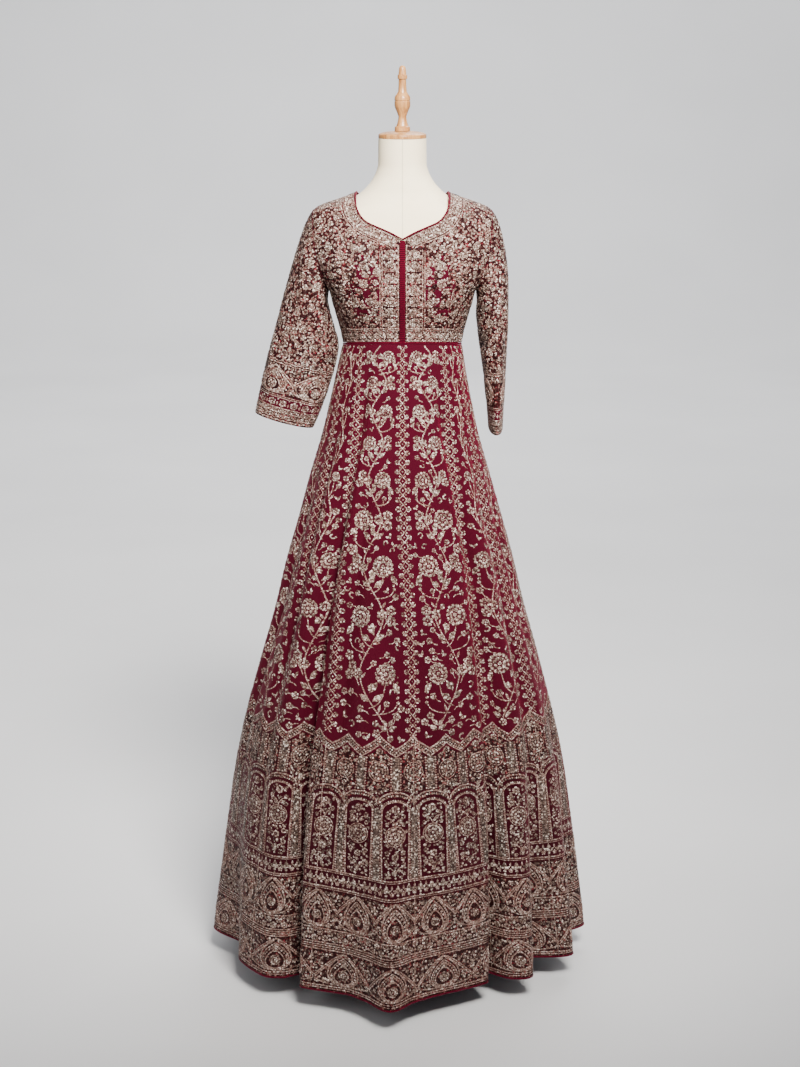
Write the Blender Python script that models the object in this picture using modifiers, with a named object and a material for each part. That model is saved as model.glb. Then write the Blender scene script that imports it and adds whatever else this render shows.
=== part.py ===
"""Anarkali gown on a limbless dress form.

Metres, +Z up, the gown's front faces -Y.  The origin is the centre of the
base plate's underside.  The wearer's right is -X.

The gown is a set of cloth walls.  A section of the skirt is a closed curve
round the axis: an oval envelope whose radii come from SKIRT, pushed in along
the folds of FOLDS.  Each of its twelve kalis (flared panels) is a stretch of
that curve between two seams.  The bodice is a superellipse whose half sizes
come from BODY, cut by the neckline, the shoulder line and the armholes.  A
sleeve is a loft from the armhole's edge through the rings of its table.
"""
import math

import bmesh
import bpy
import numpy as np

# ---------------------------------------------------------------- sizes (m)
CLOTH = 0.0015          # wall of the embroidered cloth
SEAM = 0.00034          # gap between two pieces that are sewn together
PIPING_R = 0.0015       # corded piping at the neck and the waist
HEM_PIPING_R = 0.0018
WAIST_H = 1.188         # height of the waist seam at the sides
WAIST_TILT = 0.16       # the seam rises towards the front
HEM_H = 0.050           # the hem hangs clear of the floor
ARMPIT_H = 1.285
PLACKET_HALF = 0.0050
PLACKET_PROUD = 0.0006
KALIS = 12
KALI_COLUMNS = 8
KALI_ROWS = 12
FRONT_COLUMNS = 8       # from the centre to the side seam
BACK_COLUMNS = 10
BACK_NECK_COLUMNS = 6   # of those, the ones that end at the neckline
LOW_ROWS = 4            # waist to armpit
HIGH_ROWS = 10          # armpit to shoulder
SEAM_DRIFT = math.radians(4.0)   # the centre front seam wanders this far

BASE_R, BASE_H = 0.150, 0.014
POLE_R = 0.0125
TORSO_LOW, TORSO_TOP = 0.860, 1.553
CAP_R, CAP_EDGE_H, CAP_H = 0.0425, 0.0055, 0.0125
FINIAL_BASE = TORSO_TOP + 0.0003 + CAP_H + 0.0003

# --------------------------------------------------------------- the tables
# the skirt's envelope: the radii of the oval at each height
SKIRT_COLUMNS = ("height", "right", "left", "front", "back")
SKIRT = (
    (1.188, 0.1070, 0.1070, 0.0920, 0.0800),
    (1.150, 0.1160, 0.1130, 0.1000, 0.0890),
    (1.110, 0.1265, 0.1215, 0.1100, 0.0990),
    (1.030, 0.1455, 0.1380, 0.1320, 0.1220),
    (0.950, 0.1685, 0.1600, 0.1570, 0.1460),
    (0.870, 0.1895, 0.1810, 0.1800, 0.1690),
    (0.790, 0.2120, 0.2030, 0.2030, 0.1930),
    (0.700, 0.2340, 0.2250, 0.2260, 0.2160),
    (0.600, 0.2630, 0.2540, 0.2520, 0.2430),
    (0.500, 0.2910, 0.2810, 0.2800, 0.2710),
    (0.400, 0.3135, 0.3040, 0.3040, 0.2960),
    (0.300, 0.3295, 0.3200, 0.3240, 0.3170),
    (0.200, 0.3435, 0.3340, 0.3410, 0.3340),
    (0.100, 0.3590, 0.3480, 0.3550, 0.3480),
    (0.050, 0.3650, 0.3540, 0.3615, 0.3550),
)
# the folds at the hem: azimuth from the centre front (+ to the wearer's
# left), how far the cloth lies inside the envelope there, as a share of its
# radius, and the height at which the fold begins
FOLD_COLUMNS = ("azimuth", "inset", "start")
FOLDS = (
    (-90.0, 0.000, 0.62),
    (-75.5, 0.135, 0.50),
    (-63.0, 0.070, 0.62),
    (-50.0, 0.078, 0.80),
    (-44.5, 0.140, 0.93),
    (-39.8, 0.300, 0.97),
    (-35.6, 0.118, 0.93),
    (-28.0, 0.138, 0.80),
    (-19.7, 0.150, 0.62),
    (-12.0, 0.106, 0.56),
    (-3.5, 0.004, 0.60),
    (3.6, 0.106, 0.56),
    (11.2, 0.160, 0.60),
    (19.0, 0.184, 0.68),
    (27.0, 0.192, 0.80),
    (32.8, 0.196, 0.90),
    (36.8, 0.335, 0.95),
    (41.0, 0.160, 0.90),
    (47.0, 0.092, 0.70),
    (57.5, 0.255, 0.78),
    (69.0, 0.030, 0.62),
    (80.5, 0.190, 0.66),
    (92.0, 0.000, 0.60),
    (104.5, 0.225, 0.80),
    (118.0, 0.016, 0.62),
    (131.0, 0.265, 0.88),
    (146.0, 0.022, 0.60),
    (160.0, 0.215, 0.74),
    (171.5, 0.018, 0.58),
    (184.5, 0.185, 0.66),
    (197.0, 0.000, 0.60),
    (211.0, 0.275, 0.90),
    (225.0, 0.024, 0.60),
    (239.0, 0.215, 0.76),
    (251.0, 0.012, 0.58),
    (261.5, 0.130, 0.55),
)
# the width of each kali at the waist seam and at the hem, from the centre
# front round the wearer's left
KALI_COLUMNS_NAMES = ("at_waist", "at_hem")
KALI_WIDTHS = (
    (0.078, 0.248), (0.036, 0.246), (0.040, 0.246),
    (0.040, 0.246), (0.038, 0.246), (0.074, 0.248),
    (0.074, 0.248), (0.038, 0.246), (0.040, 0.246),
    (0.040, 0.246), (0.036, 0.246), (0.078, 0.248),
)
# the bodice: half width, depth in front and behind, and the exponent of the
# superellipse.  Above 1.285 the half width runs on into the sleeve.
BODY_COLUMNS = ("height", "half", "front", "back", "power")
BODY = (
    (1.188, 0.1070, 0.0920, 0.0800, 2.00),
    (1.210, 0.1110, 0.0955, 0.0820, 2.10),
    (1.235, 0.1175, 0.1015, 0.0845, 2.25),
    (1.260, 0.1245, 0.1075, 0.0870, 2.35),
    (1.285, 0.1310, 0.1105, 0.0895, 2.40),
    (1.300, 0.1420, 0.1105, 0.0910, 2.40),
    (1.318, 0.1550, 0.1085, 0.0925, 2.40),
    (1.336, 0.1650, 0.1055, 0.0935, 2.40),
    (1.357, 0.1720, 0.1005, 0.0930, 2.40),
    (1.385, 0.1740, 0.0925, 0.0905, 2.40),
    (1.400, 0.1715, 0.0875, 0.0880, 2.40),
    (1.412, 0.1680, 0.0830, 0.0845, 2.40),
    (1.420, 0.1635, 0.0795, 0.0815, 2.40),
    (1.428, 0.1580, 0.0760, 0.0780, 2.40),
    (1.435, 0.1460, 0.0725, 0.0745, 2.40),
    (1.442, 0.1270, 0.0685, 0.0705, 2.40),
    (1.448, 0.1085, 0.0650, 0.0670, 2.40),
    (1.459, 0.0820, 0.0585, 0.0605, 2.30),
    (1.468, 0.0600, 0.0530, 0.0550, 2.20),
)
OUTLINE_COLUMNS = ("half", "height")
SHOULDER = (        # the shoulder seam, neck to tip
    (0.0820, 1.4590), (0.1085, 1.4480), (0.1270, 1.4420),
    (0.1460, 1.4350), (0.1580, 1.4280))
ARMHOLE = (         # its front edge, seen from the front, tip to armpit
    (0.1580, 1.4280), (0.1585, 1.4120), (0.1570, 1.3900), (0.1530, 1.3570),
    (0.1475, 1.3360), (0.1410, 1.3180), (0.1350, 1.2990), (0.1310, 1.2850))
NECK_FRONT = (      # the line of the piping, the point of the V to the shoulder
    (0.0000, 1.3850), (0.0085, 1.3895), (0.0234, 1.3975), (0.0452, 1.4065),
    (0.0640, 1.4150), (0.0765, 1.4290), (0.0815, 1.4430), (0.0820, 1.4590))
NECK_BACK = (
    (0.0000, 1.4290), (0.0250, 1.4300), (0.0470, 1.4340),
    (0.0670, 1.4420), (0.0780, 1.4510), (0.0820, 1.4590))
# the rings of a sleeve: the outer and the inner point of each, seen from the
# front, and its half depth
RING_COLUMNS = ("outer_x", "outer_z", "inner_x", "inner_z", "half_depth")
SLEEVE_RIGHT = (    # spread outwards, flat towards the front
    (0.1690, 1.4110, 0.1345, 1.2660, 0.0565),
    (0.1785, 1.3880, 0.1300, 1.2420, 0.0580),
    (0.1930, 1.3450, 0.1220, 1.2140, 0.0580),
    (0.2110, 1.2840, 0.1150, 1.1850, 0.0565),
    (0.2300, 1.2150, 0.1215, 1.1480, 0.0540),
    (0.2455, 1.1600, 0.1320, 1.1130, 0.0500),
    (0.2570, 1.1110, 0.1455, 1.0740, 0.0440),
    (0.2680, 1.0620, 0.1625, 1.0340, 0.0375),
)
SLEEVE_LEFT = (     # hangs straight down, flat towards the body
    (0.1690, 1.4110, 0.1345, 1.2660, 0.0565),
    (0.1770, 1.3870, 0.1330, 1.2450, 0.0590),
    (0.1850, 1.3500, 0.1345, 1.2250, 0.0610),
    (0.1900, 1.3000, 0.1370, 1.2030, 0.0630),
    (0.1905, 1.2400, 0.1415, 1.1720, 0.0650),
    (0.1885, 1.1750, 0.1475, 1.1330, 0.0665),
    (0.1850, 1.1050, 0.1535, 1.0820, 0.0675),
    (0.1820, 1.0330, 0.1580, 1.0310, 0.0685),
)
# the dress form, inside the gown and above it
FORM_COLUMNS = ("height", "half", "front", "back", "power")
FORM = (
    (0.860, 0.1220, 0.0880, 0.0960, 2.10),
    (0.868, 0.1270, 0.0920, 0.1000, 2.10),
    (0.910, 0.1300, 0.0950, 0.1030, 2.10),
    (0.970, 0.1240, 0.0920, 0.0980, 2.10),
    (1.050, 0.1080, 0.0850, 0.0820, 2.10),
    (1.120, 0.0970, 0.0810, 0.0710, 2.05),
    (1.190, 0.1005, 0.0830, 0.0735, 2.05),
    (1.230, 0.1105, 0.0905, 0.0785, 2.20),
    (1.270, 0.1205, 0.1005, 0.0830, 2.30),
    (1.300, 0.1285, 0.1050, 0.0855, 2.40),
    (1.335, 0.1400, 0.1000, 0.0880, 2.60),
    (1.370, 0.1460, 0.0915, 0.0870, 2.70),
    (1.400, 0.1460, 0.0820, 0.0825, 2.60),
    (1.418, 0.1455, 0.0745, 0.0765, 2.50),
    (1.429, 0.1420, 0.0695, 0.0715, 2.40),
    (1.435, 0.1240, 0.0655, 0.0675, 2.40),
    (1.441, 0.1030, 0.0615, 0.0635, 2.40),
    (1.4505, 0.0840, 0.0555, 0.0575, 2.30),
    (1.4615, 0.0700, 0.0510, 0.0530, 2.20),
    (1.476, 0.0565, 0.0480, 0.0500, 2.10),
    (1.492, 0.0475, 0.0445, 0.0455, 2.00),
    (1.508, 0.0430, 0.0427, 0.0428, 2.00),
    (1.553, 0.0425, 0.0425, 0.0425, 2.00),
)
# the turned finial: height above its foot, and radius, in millimetres
FINIAL_COLUMNS = ("rise", "radius")
FINIAL = (
    (112.6, 0.0), (111.6, 3.2), (109.6, 5.1), (106.0, 6.0), (96.8, 6.9),
    (95.6, 8.5), (89.6, 8.5), (88.2, 6.6), (77.2, 6.9), (67.5, 7.6),
    (63.0, 10.4), (59.6, 13.0), (57.6, 13.8), (52.6, 13.9), (51.4, 13.1),
    (50.2, 13.9), (42.8, 13.9), (39.3, 13.0), (32.4, 10.0), (24.5, 6.9),
    (20.3, 7.3), (13.4, 8.8), (8.3, 10.6), (6.6, 13.4), (0.0, 13.6),
)


# ------------------------------------------------------------------ helpers
def column(rows, names, name):
    return np.array([row[names.index(name)] for row in rows], dtype=float)


def smooth(xs, ys, period=None):
    """A curve through the table's points that never overshoots them."""
    xs, ys = np.asarray(xs, float), np.asarray(ys, float)
    if xs[0] > xs[-1]:
        xs, ys = xs[::-1], ys[::-1]
    if period:
        xs = np.concatenate([xs[-3:] - period, xs, xs[:3] + period])
        ys = np.concatenate([ys[-3:], ys, ys[:3]])
    h = np.diff(xs)
    d = np.diff(ys) / h
    m = np.zeros_like(xs)
    m[0], m[-1] = d[0], d[-1]
    for i in range(1, len(xs) - 1):
        if d[i - 1] * d[i] > 0:
            w1, w2 = 2 * h[i] + h[i - 1], h[i] + 2 * h[i - 1]
            m[i] = (w1 + w2) / (w1 / d[i - 1] + w2 / d[i])

    def at(x):
        x = np.asarray(x, float)
        if period:
            x = xs[3] + np.mod(x - xs[3], period)
        x = np.clip(x, xs[0], xs[-1])
        i = np.clip(np.searchsorted(xs, x, side="right") - 1, 0, len(h) - 1)
        t = (x - xs[i]) / h[i]
        return ((1 + 2 * t) * (1 - t) ** 2 * ys[i] + t * (1 - t) ** 2 * h[i] * m[i]
                + t * t * (3 - 2 * t) * ys[i + 1] + t * t * (t - 1) * h[i] * m[i + 1])
    return at


def curves(rows, names):
    key = column(rows, names, names[0])
    return {n: smooth(key, column(rows, names, n)) for n in names[1:]}


def along(points, shares):
    """Points at the given shares of a polyline's length, on a smooth curve."""
    points = np.asarray(points, float)
    run = np.concatenate([[0], np.cumsum(np.linalg.norm(np.diff(points, axis=0), axis=1))])
    run = run / run[-1]
    return np.stack([smooth(run, points[:, k])(shares) for k in range(points.shape[1])], axis=1)


def unit(v):
    return v / np.maximum(np.linalg.norm(v, axis=-1, keepdims=True), 1e-12)


# ---------------------------------------------------------------- the skirt
skirt = curves(SKIRT, SKIRT_COLUMNS)
fold_inset = smooth(column(FOLDS, FOLD_COLUMNS, "azimuth"), column(FOLDS, FOLD_COLUMNS, "inset"), 360.0)
fold_start = smooth(column(FOLDS, FOLD_COLUMNS, "azimuth"), column(FOLDS, FOLD_COLUMNS, "start"), 360.0)


def envelope(az, h):
    s, c = np.sin(az), np.cos(az)
    a = np.where(s < 0, skirt["right"](h), skirt["left"](h))
    b = np.where(c > 0, skirt["front"](h), skirt["back"](h))
    return 1.0 / np.sqrt((s / a) ** 2 + (c / b) ** 2)


def skirt_point(az, v):
    """v runs down the skirt from the waist seam, 0, to the hem, 1."""
    az, v = np.broadcast_arrays(np.asarray(az, float), np.asarray(v, float))
    h = WAIST_H * (1 - v) + HEM_H * v
    start = fold_start(np.degrees(az))
    grow = np.clip((start - h) / (start - HEM_H), 0, 1) ** 1.3
    r = envelope(az, h) * (1 - grow * fold_inset(np.degrees(az)))
    waist_y = -envelope(az, WAIST_H) * np.cos(az)
    z = h - WAIST_TILT * waist_y * (1 - v)
    return np.stack([r * np.sin(az), -r * np.cos(az), z], axis=-1)


def skirt_normal(az, v):
    e = 1e-4
    v0, v1 = np.clip(v - e, 0, 1), np.clip(v + e, 0, 1)
    across = skirt_point(az + e, v) - skirt_point(az - e, v)
    down = skirt_point(az, v1) - skirt_point(az, v0)
    return unit(np.cross(down, across))


def row_azimuths(v, shares):
    """Azimuths at shares of the skirt's girth, counted from the front seam."""
    az = np.linspace(0, 2 * math.pi, 1801)
    p = skirt_point(az, np.full_like(az, v))
    run = np.concatenate([[0], np.cumsum(np.linalg.norm(np.diff(p, axis=0), axis=1))])
    run = run / run[-1]
    h = WAIST_H * (1 - v) + HEM_H * v
    k = min(max((1.0 - h) / 0.40, 0.0), 1.0)
    first = np.interp(SEAM_DRIFT * k * k * (3 - 2 * k), az, run)
    s = np.asarray(shares, float) + first
    turns = np.floor(s)
    return np.interp(s - turns, run, az) + 2 * math.pi * turns


def seam_shares(v):
    top = column(KALI_WIDTHS, KALI_COLUMNS_NAMES, "at_waist")
    low = column(KALI_WIDTHS, KALI_COLUMNS_NAMES, "at_hem")
    w = top * (1 - v) + low * v
    return np.concatenate([[0], np.cumsum(w)]) / w.sum()


# --------------------------------------------------------------- the bodice
body = curves(BODY, BODY_COLUMNS)


def body_depth(x, z, side):
    a, b, n = body["half"](z), body[side](z), body["power"](z)
    q = np.clip(1 - np.clip(np.abs(x) / a, 0, 1) ** n, 0, 1)
    return b * q ** (1 / n)


def pushed_out(points, distance):
    """An outline moved outwards, away from the neck opening."""
    p = np.asarray(points, float)
    t = unit(np.gradient(p, axis=0))
    t[0] = unit(p[1] - p[0])
    out = np.stack([t[:, 1], -t[:, 0]], axis=1)
    return p + distance * out


CLIMB = 0.5 - 0.5 * np.cos(np.linspace(0, math.pi, HIGH_ROWS + 1))


def bodice_half(side):
    """Rows from the waist to the shoulder, columns from the centre out."""
    front = side == "front"
    sign = -1.0 if front else 1.0
    inner_x = PLACKET_HALF + SEAM if front else 0.0
    columns = FRONT_COLUMNS if front else BACK_COLUMNS
    share = np.linspace(0, 1, columns + 1) ** 0.92
    rows = []
    for h in np.linspace(WAIST_H, ARMPIT_H, LOW_ROWS + 1):
        a, b, n = float(body["half"](h)), float(body[side](h)), float(body["power"](h))
        t0 = math.asin((inner_x / a) ** (n / 2)) / (math.pi / 2)
        t = (t0 + (1 - t0) * share) * math.pi / 2
        x = a * np.sin(t) ** (2 / n)
        y = sign * b * np.clip(np.cos(t), 0, 1) ** (2 / n)
        y[-1] = 0.0
        fade = 1 - (h - WAIST_H) / (ARMPIT_H - WAIST_H)
        z = h - WAIST_TILT * y * fade
        rows.append(np.stack([x, y, z + (PIPING_R + SEAM) * fade], axis=1))
    low = rows[-1]
    neck = pushed_out(NECK_FRONT if front else NECK_BACK, PIPING_R + 0.0006)
    neck[:, 0] = np.maximum(neck[:, 0], inner_x)
    neck[0, 0] = inner_x
    shoulder = np.array(SHOULDER)
    line = smooth(shoulder[:, 0], shoulder[:, 1])
    neck[-1] = shoulder[0] = (0.0846, float(line(0.0846)))
    right = along(np.array(ARMHOLE)[::-1], CLIMB)
    if front:       # the centre front and the neckline are one edge
        left = along(np.vstack([[inner_x, ARMPIT_H], neck]), CLIMB)
        top = along(shoulder, share)
        at_neck = np.zeros(columns + 1, bool)
    else:           # the neckline and the shoulder are one edge
        left = along([[0.0, ARMPIT_H], neck[0]], CLIMB)
        k = BACK_NECK_COLUMNS
        low_part = 1 - (1 - np.linspace(0, 1, k + 1)) ** 1.35
        top = np.vstack([along(neck, low_part)[:-1], along(shoulder, np.linspace(0, 1, columns - k + 1))])
        at_neck = np.arange(columns + 1) < k
    bottom = low[:, [0, 2]]
    for k in range(1, HIGH_ROWS + 1):
        v = CLIMB[k]
        s = share[:, None]
        p = ((1 - v) * bottom + v * top + (1 - s) * left[k] + s * right[k]
             - (1 - s) * (1 - v) * bottom[0] - s * (1 - v) * bottom[-1]
             - (1 - s) * v * top[0] - s * v * top[-1])
        y = sign * body_depth(p[:, 0], p[:, 1], side)
        if k == HIGH_ROWS:
            y = np.where(at_neck, y, 0.0)
        rows.append(np.stack([p[:, 0], y, p[:, 1]], axis=1))
    return np.array(rows)


def shared_normals(grids, closed=False):
    """Vertex normals over several grids whose edges coincide."""
    total = {}

    def key(p):
        return tuple(np.round(p * 20000).astype(int))
    for g in grids:
        rows, cols = g.shape[:2]
        for r in range(rows - 1):
            for c in range(cols if closed else cols - 1):
                q = [g[r, c], g[r, (c + 1) % cols], g[r + 1, (c + 1) % cols], g[r + 1, c]]
                n = np.cross(q[2] - q[0], q[3] - q[1])
                for p in q:
                    total[key(p)] = total.get(key(p), 0) + n
    return [unit(np.array([[total[key(p)] for p in row] for row in g])) for g in grids]


# ---------------------------------------------------------- making the mesh
scene = bpy.context.scene
for old in list(bpy.data.objects):
    bpy.data.objects.remove(old, do_unlink=True)
collection = bpy.data.collections.new("anarkali_gown")
scene.collection.children.link(collection)


def material(name, color, roughness, metallic=0.0):
    m = bpy.data.materials.new(name)
    m.use_nodes = True
    shader = next(n for n in m.node_tree.nodes if n.type == "BSDF_PRINCIPLED")
    shader.inputs["Base Color"].default_value = (*color, 1.0)
    shader.inputs["Roughness"].default_value = roughness
    shader.inputs["Metallic"].default_value = metallic
    m.diffuse_color = (*color, 1.0)
    return m


def own(mat, name):
    m = mat.copy()
    m.name = name
    return m


ZARI = material("zari_cloth", (0.36, 0.24, 0.22), 0.55, 0.1)
MAROON = material("maroon_cloth", (0.20, 0.010, 0.030), 0.60)
CREAM = material("form_fabric", (0.78, 0.71, 0.62), 0.85)
WOOD = material("light_wood", (0.62, 0.42, 0.22), 0.45)
STEEL = material("painted_steel", (0.16, 0.16, 0.17), 0.45, 0.6)


def finish(obj, mat, smooth_angle=40):
    if obj.name not in collection.objects:
        for c in list(obj.users_collection):
            c.objects.unlink(obj)
        collection.objects.link(obj)
    obj.data.materials.clear()
    obj.data.materials.append(own(mat, obj.name + "_finish"))
    if obj.type == "MESH":
        obj.data.shade_smooth()
        obj.data.set_sharp_from_angle(angle=math.radians(smooth_angle))
    return obj


def mesh_object(name, verts, faces, mat):
    mesh = bpy.data.meshes.new(name)
    mesh.from_pydata([tuple(map(float, v)) for v in verts], [], faces)
    bm = bmesh.new()
    bm.from_mesh(mesh)
    bmesh.ops.recalc_face_normals(bm, faces=bm.faces)
    bm.to_mesh(mesh)
    bm.free()
    obj = bpy.data.objects.new(name, mesh)
    collection.objects.link(obj)
    return finish(obj, mat)


def wall(name, outer, inner, mat, closed=False):
    """A cloth wall between two grids of points, open or closed round."""
    rows, cols = outer.shape[:2]
    verts = np.vstack([outer.reshape(-1, 3), inner.reshape(-1, 3)])
    o = lambda r, c: r * cols + c % cols
    i = lambda r, c: rows * cols + r * cols + c % cols
    faces = []
    spans = cols if closed else cols - 1
    for r in range(rows - 1):
        for c in range(spans):
            faces.append((o(r, c), o(r, c + 1), o(r + 1, c + 1), o(r + 1, c)))
            faces.append((i(r, c), i(r + 1, c), i(r + 1, c + 1), i(r, c + 1)))
    for c in range(spans):
        faces.append((o(0, c), i(0, c), i(0, c + 1), o(0, c + 1)))
        faces.append((o(rows - 1, c), o(rows - 1, c + 1), i(rows - 1, c + 1), i(rows - 1, c)))
    if not closed:
        for r in range(rows - 1):
            faces.append((o(r, 0), o(r + 1, 0), i(r + 1, 0), i(r, 0)))
            faces.append((o(r, cols - 1), i(r, cols - 1), i(r + 1, cols - 1), o(r + 1, cols - 1)))
    return mesh_object(name, verts, faces, mat)


def piping(name, points, radius, mat, resolution=1):
    curve = bpy.data.curves.new(name, "CURVE")
    curve.dimensions = "3D"
    curve.bevel_depth = radius
    curve.bevel_resolution = resolution
    spline = curve.splines.new("POLY")
    spline.points.add(len(points) - 1)
    for p, co in zip(spline.points, points):
        p.co = (*map(float, co), 1.0)
    spline.use_cyclic_u = True
    obj = bpy.data.objects.new(name, curve)
    collection.objects.link(obj)
    return finish(obj, mat)


def turned(name, profile, mat, steps=24):
    """profile: (radius, height) pairs from the top of the axis down."""
    mesh = bpy.data.meshes.new(name)
    mesh.from_pydata([(r, 0.0, z) for r, z in profile], [(k, k + 1) for k in range(len(profile) - 1)], [])
    obj = bpy.data.objects.new(name, mesh)
    collection.objects.link(obj)
    screw = obj.modifiers.new("turn", "SCREW")
    screw.axis = "Z"
    screw.angle = 2 * math.pi
    screw.steps = screw.render_steps = steps
    screw.use_merge_vertices = True
    screw.merge_threshold = 0.00002
    obj.data.materials.append(own(mat, name + "_finish"))
    return obj


# ---------------------------------------------------------------- the kalis
levels = np.linspace(0, 1, KALI_ROWS + 1) ** 0.95
top_gap = (PIPING_R + SEAM) / (WAIST_H - HEM_H)
levels[0] = top_gap
hem_run = []
for k in range(KALIS):
    outer, inner = [], []
    for v in levels:
        bounds = seam_shares(v)
        shares = bounds[k] + (bounds[k + 1] - bounds[k]) * np.linspace(0, 1, KALI_COLUMNS + 1)
        az = row_azimuths(v, shares)
        e = 1e-4
        pace = np.linalg.norm(skirt_point(az + e, v) - skirt_point(az - e, v), axis=1) / (2 * e)
        az[0] += SEAM / 2 / pace[0]
        az[-1] -= SEAM / 2 / pace[-1]
        p, n = skirt_point(az, v), skirt_normal(az, v)
        outer.append(p)
        inner.append(p - CLOTH * n)
    hem_run.extend(((outer[-1] + inner[-1]) / 2)[:-1])
    wall("kali_%02d" % (k + 1), np.array(outer), np.array(inner), ZARI)
hem_run = np.array(hem_run)
hem_run[:, 2] = HEM_H - HEM_PIPING_R - SEAM
piping("hem_piping", hem_run, HEM_PIPING_R, MAROON)

# --------------------------------------------------------------- the bodice
front, back = bodice_half("front"), bodice_half("back")
LEVEL = np.array([1.0, 0.0, 1.0])
mirror = np.array([-1.0, 1.0, 1.0])
back_full = np.concatenate([(back * mirror)[:, :0:-1], back], axis=1)
front_right = (front * mirror)[:, ::-1]
normals = shared_normals([front, back_full[:, ::-1], front_right])
for n, ends in zip(normals, ((-1,), (0, -1), (0,))):
    # at the side and shoulder seams the wall stands square to the seam
    for c in ends:
        n[:LOW_ROWS + 1, c] = unit(n[:LOW_ROWS + 1, c] * LEVEL)
    seam = np.abs(n[-1, :, 0]) >= 0
    grid_y = {len(front[0]): front[-1, :, 1], len(back_full[0]): back_full[-1, :, 1]}[n.shape[1]]
    seam = np.abs(grid_y) < 1e-9
    n[-1, seam] = unit(n[-1, seam] * LEVEL)


def spread(points, sign, sides):
    """Half a seam's gap at the side and shoulder seams."""
    q = points.copy()
    for c in sides:
        q[:LOW_ROWS + 1, c, 1] += sign * SEAM / 2
    q[-1, np.abs(points[-1, :, 1]) < 0.0005, 1] += sign * SEAM / 2
    return q


for name, grid, n, sign, sides in (
        ("bodice_front_left", front, normals[0], -1, (-1,)),
        ("bodice_back", back_full[:, ::-1], normals[1], 1, (0, -1)),
        ("bodice_front_right", front_right, normals[2], -1, (0,))):
    wall(name, spread(grid, sign, sides), spread(grid - CLOTH * n, sign, sides), ZARI)

# the placket fills the gap between the two fronts, up to the neck piping
strip = front[:, 0]
top_of_v = NECK_FRONT[0][1] - PIPING_R - 0.0008
heights = [p[2] for p in strip if p[2] < top_of_v - 0.004] + [top_of_v]
depth = np.interp(heights, strip[:, 2], strip[:, 1])
across = np.linspace(-PLACKET_HALF, PLACKET_HALF, 5)
crown = PLACKET_PROUD * np.array([0.4, 0.85, 1.0, 0.85, 0.4])
outer = np.array([[(x, y - c, z) for x, c in zip(across, crown)] for y, z in zip(depth, heights)])
inner = outer + np.array([0, CLOTH, 0])
wall("placket", outer, inner, MAROON)

# neck piping, just inside the panels' edges: from the point of the V up to
# the left shoulder, round the back, and down the other side
first = LOW_ROWS + int(np.argmax(front[LOW_ROWS:, 0, 0] > PLACKET_HALF + SEAM + 0.001))
k = BACK_NECK_COLUMNS
edge = np.vstack([front[first:, 0], back[-1, :k][::-1]])
back_normals = normals[1][-1, ::-1][BACK_COLUMNS:][:k][::-1]
facing = np.vstack([normals[0][first:, 0], back_normals])
edge = np.vstack([edge, (edge * mirror)[-2::-1]])
facing = np.vstack([facing, (facing * mirror)[-2::-1]])
before = unit(edge - np.roll(edge, 1, axis=0))
after = unit(np.roll(edge, -1, axis=0) - edge)
before[0], after[-1] = after[0], before[-1]
inward = unit(np.cross(facing, unit(before + after)))
if (inward * (np.array([0.0, 0.0, 1.45]) - edge)).sum() < 0:
    inward = -inward
half_turn = np.sqrt(np.clip((1 + (before * after).sum(axis=1)) / 2, 0.5, 1))
neck = edge + inward * ((PIPING_R + 0.0005) / half_turn)[:, None] - facing * CLOTH / 2
v_point = np.array([[0.0, np.interp(NECK_FRONT[0][1], strip[:, 2], strip[:, 1]) + CLOTH / 2, NECK_FRONT[0][1]]])
piping("neck_piping", np.vstack([v_point, neck]), PIPING_R, MAROON)

# waist piping
az = np.linspace(0, 2 * math.pi, 57)[:-1]
piping("waist_piping", skirt_point(az, 0.0) - CLOTH / 2 * skirt_normal(az, 0.0), PIPING_R, MAROON)

# -------------------------------------------------------------- the sleeves
arm_front = front[LOW_ROWS:, -1]          # armpit to tip
arm_back = back[LOW_ROWS:, -1]
loop = np.vstack([arm_front[::-1], arm_back[1:-1]])      # tip, front, armpit, back
turn = math.pi * (1 - np.linspace(0, 1, HIGH_ROWS + 1))  # armpit to tip
angles = np.concatenate([turn[::-1], 2 * math.pi - turn[1:-1]])
for name, rings, sign in (("sleeve_left", SLEEVE_LEFT, 1.0), ("sleeve_right", SLEEVE_RIGHT, -1.0)):
    grid = [loop + np.array([0.0009, 0.0, 0.0])]
    for ring in rings:
        r = dict(zip(RING_COLUMNS, ring))
        middle = np.array([(r["outer_x"] + r["inner_x"]) / 2, 0.0, (r["outer_z"] + r["inner_z"]) / 2])
        reach = np.array([(r["outer_x"] - r["inner_x"]) / 2, 0.0, (r["outer_z"] - r["inner_z"]) / 2])
        grid.append(middle + np.cos(angles)[:, None] * reach
                    - np.sin(angles)[:, None] * np.array([0.0, r["half_depth"], 0.0]))
    grid = np.array(grid)
    n = shared_normals([grid], closed=True)[0]
    middle = grid.mean(axis=1, keepdims=True)
    if ((grid - middle) * n).sum() < 0:
        n = -n
    side = np.array([sign, 1.0, 1.0])
    wall(name, grid * side, (grid - CLOTH * n) * side, ZARI, closed=True)

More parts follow.
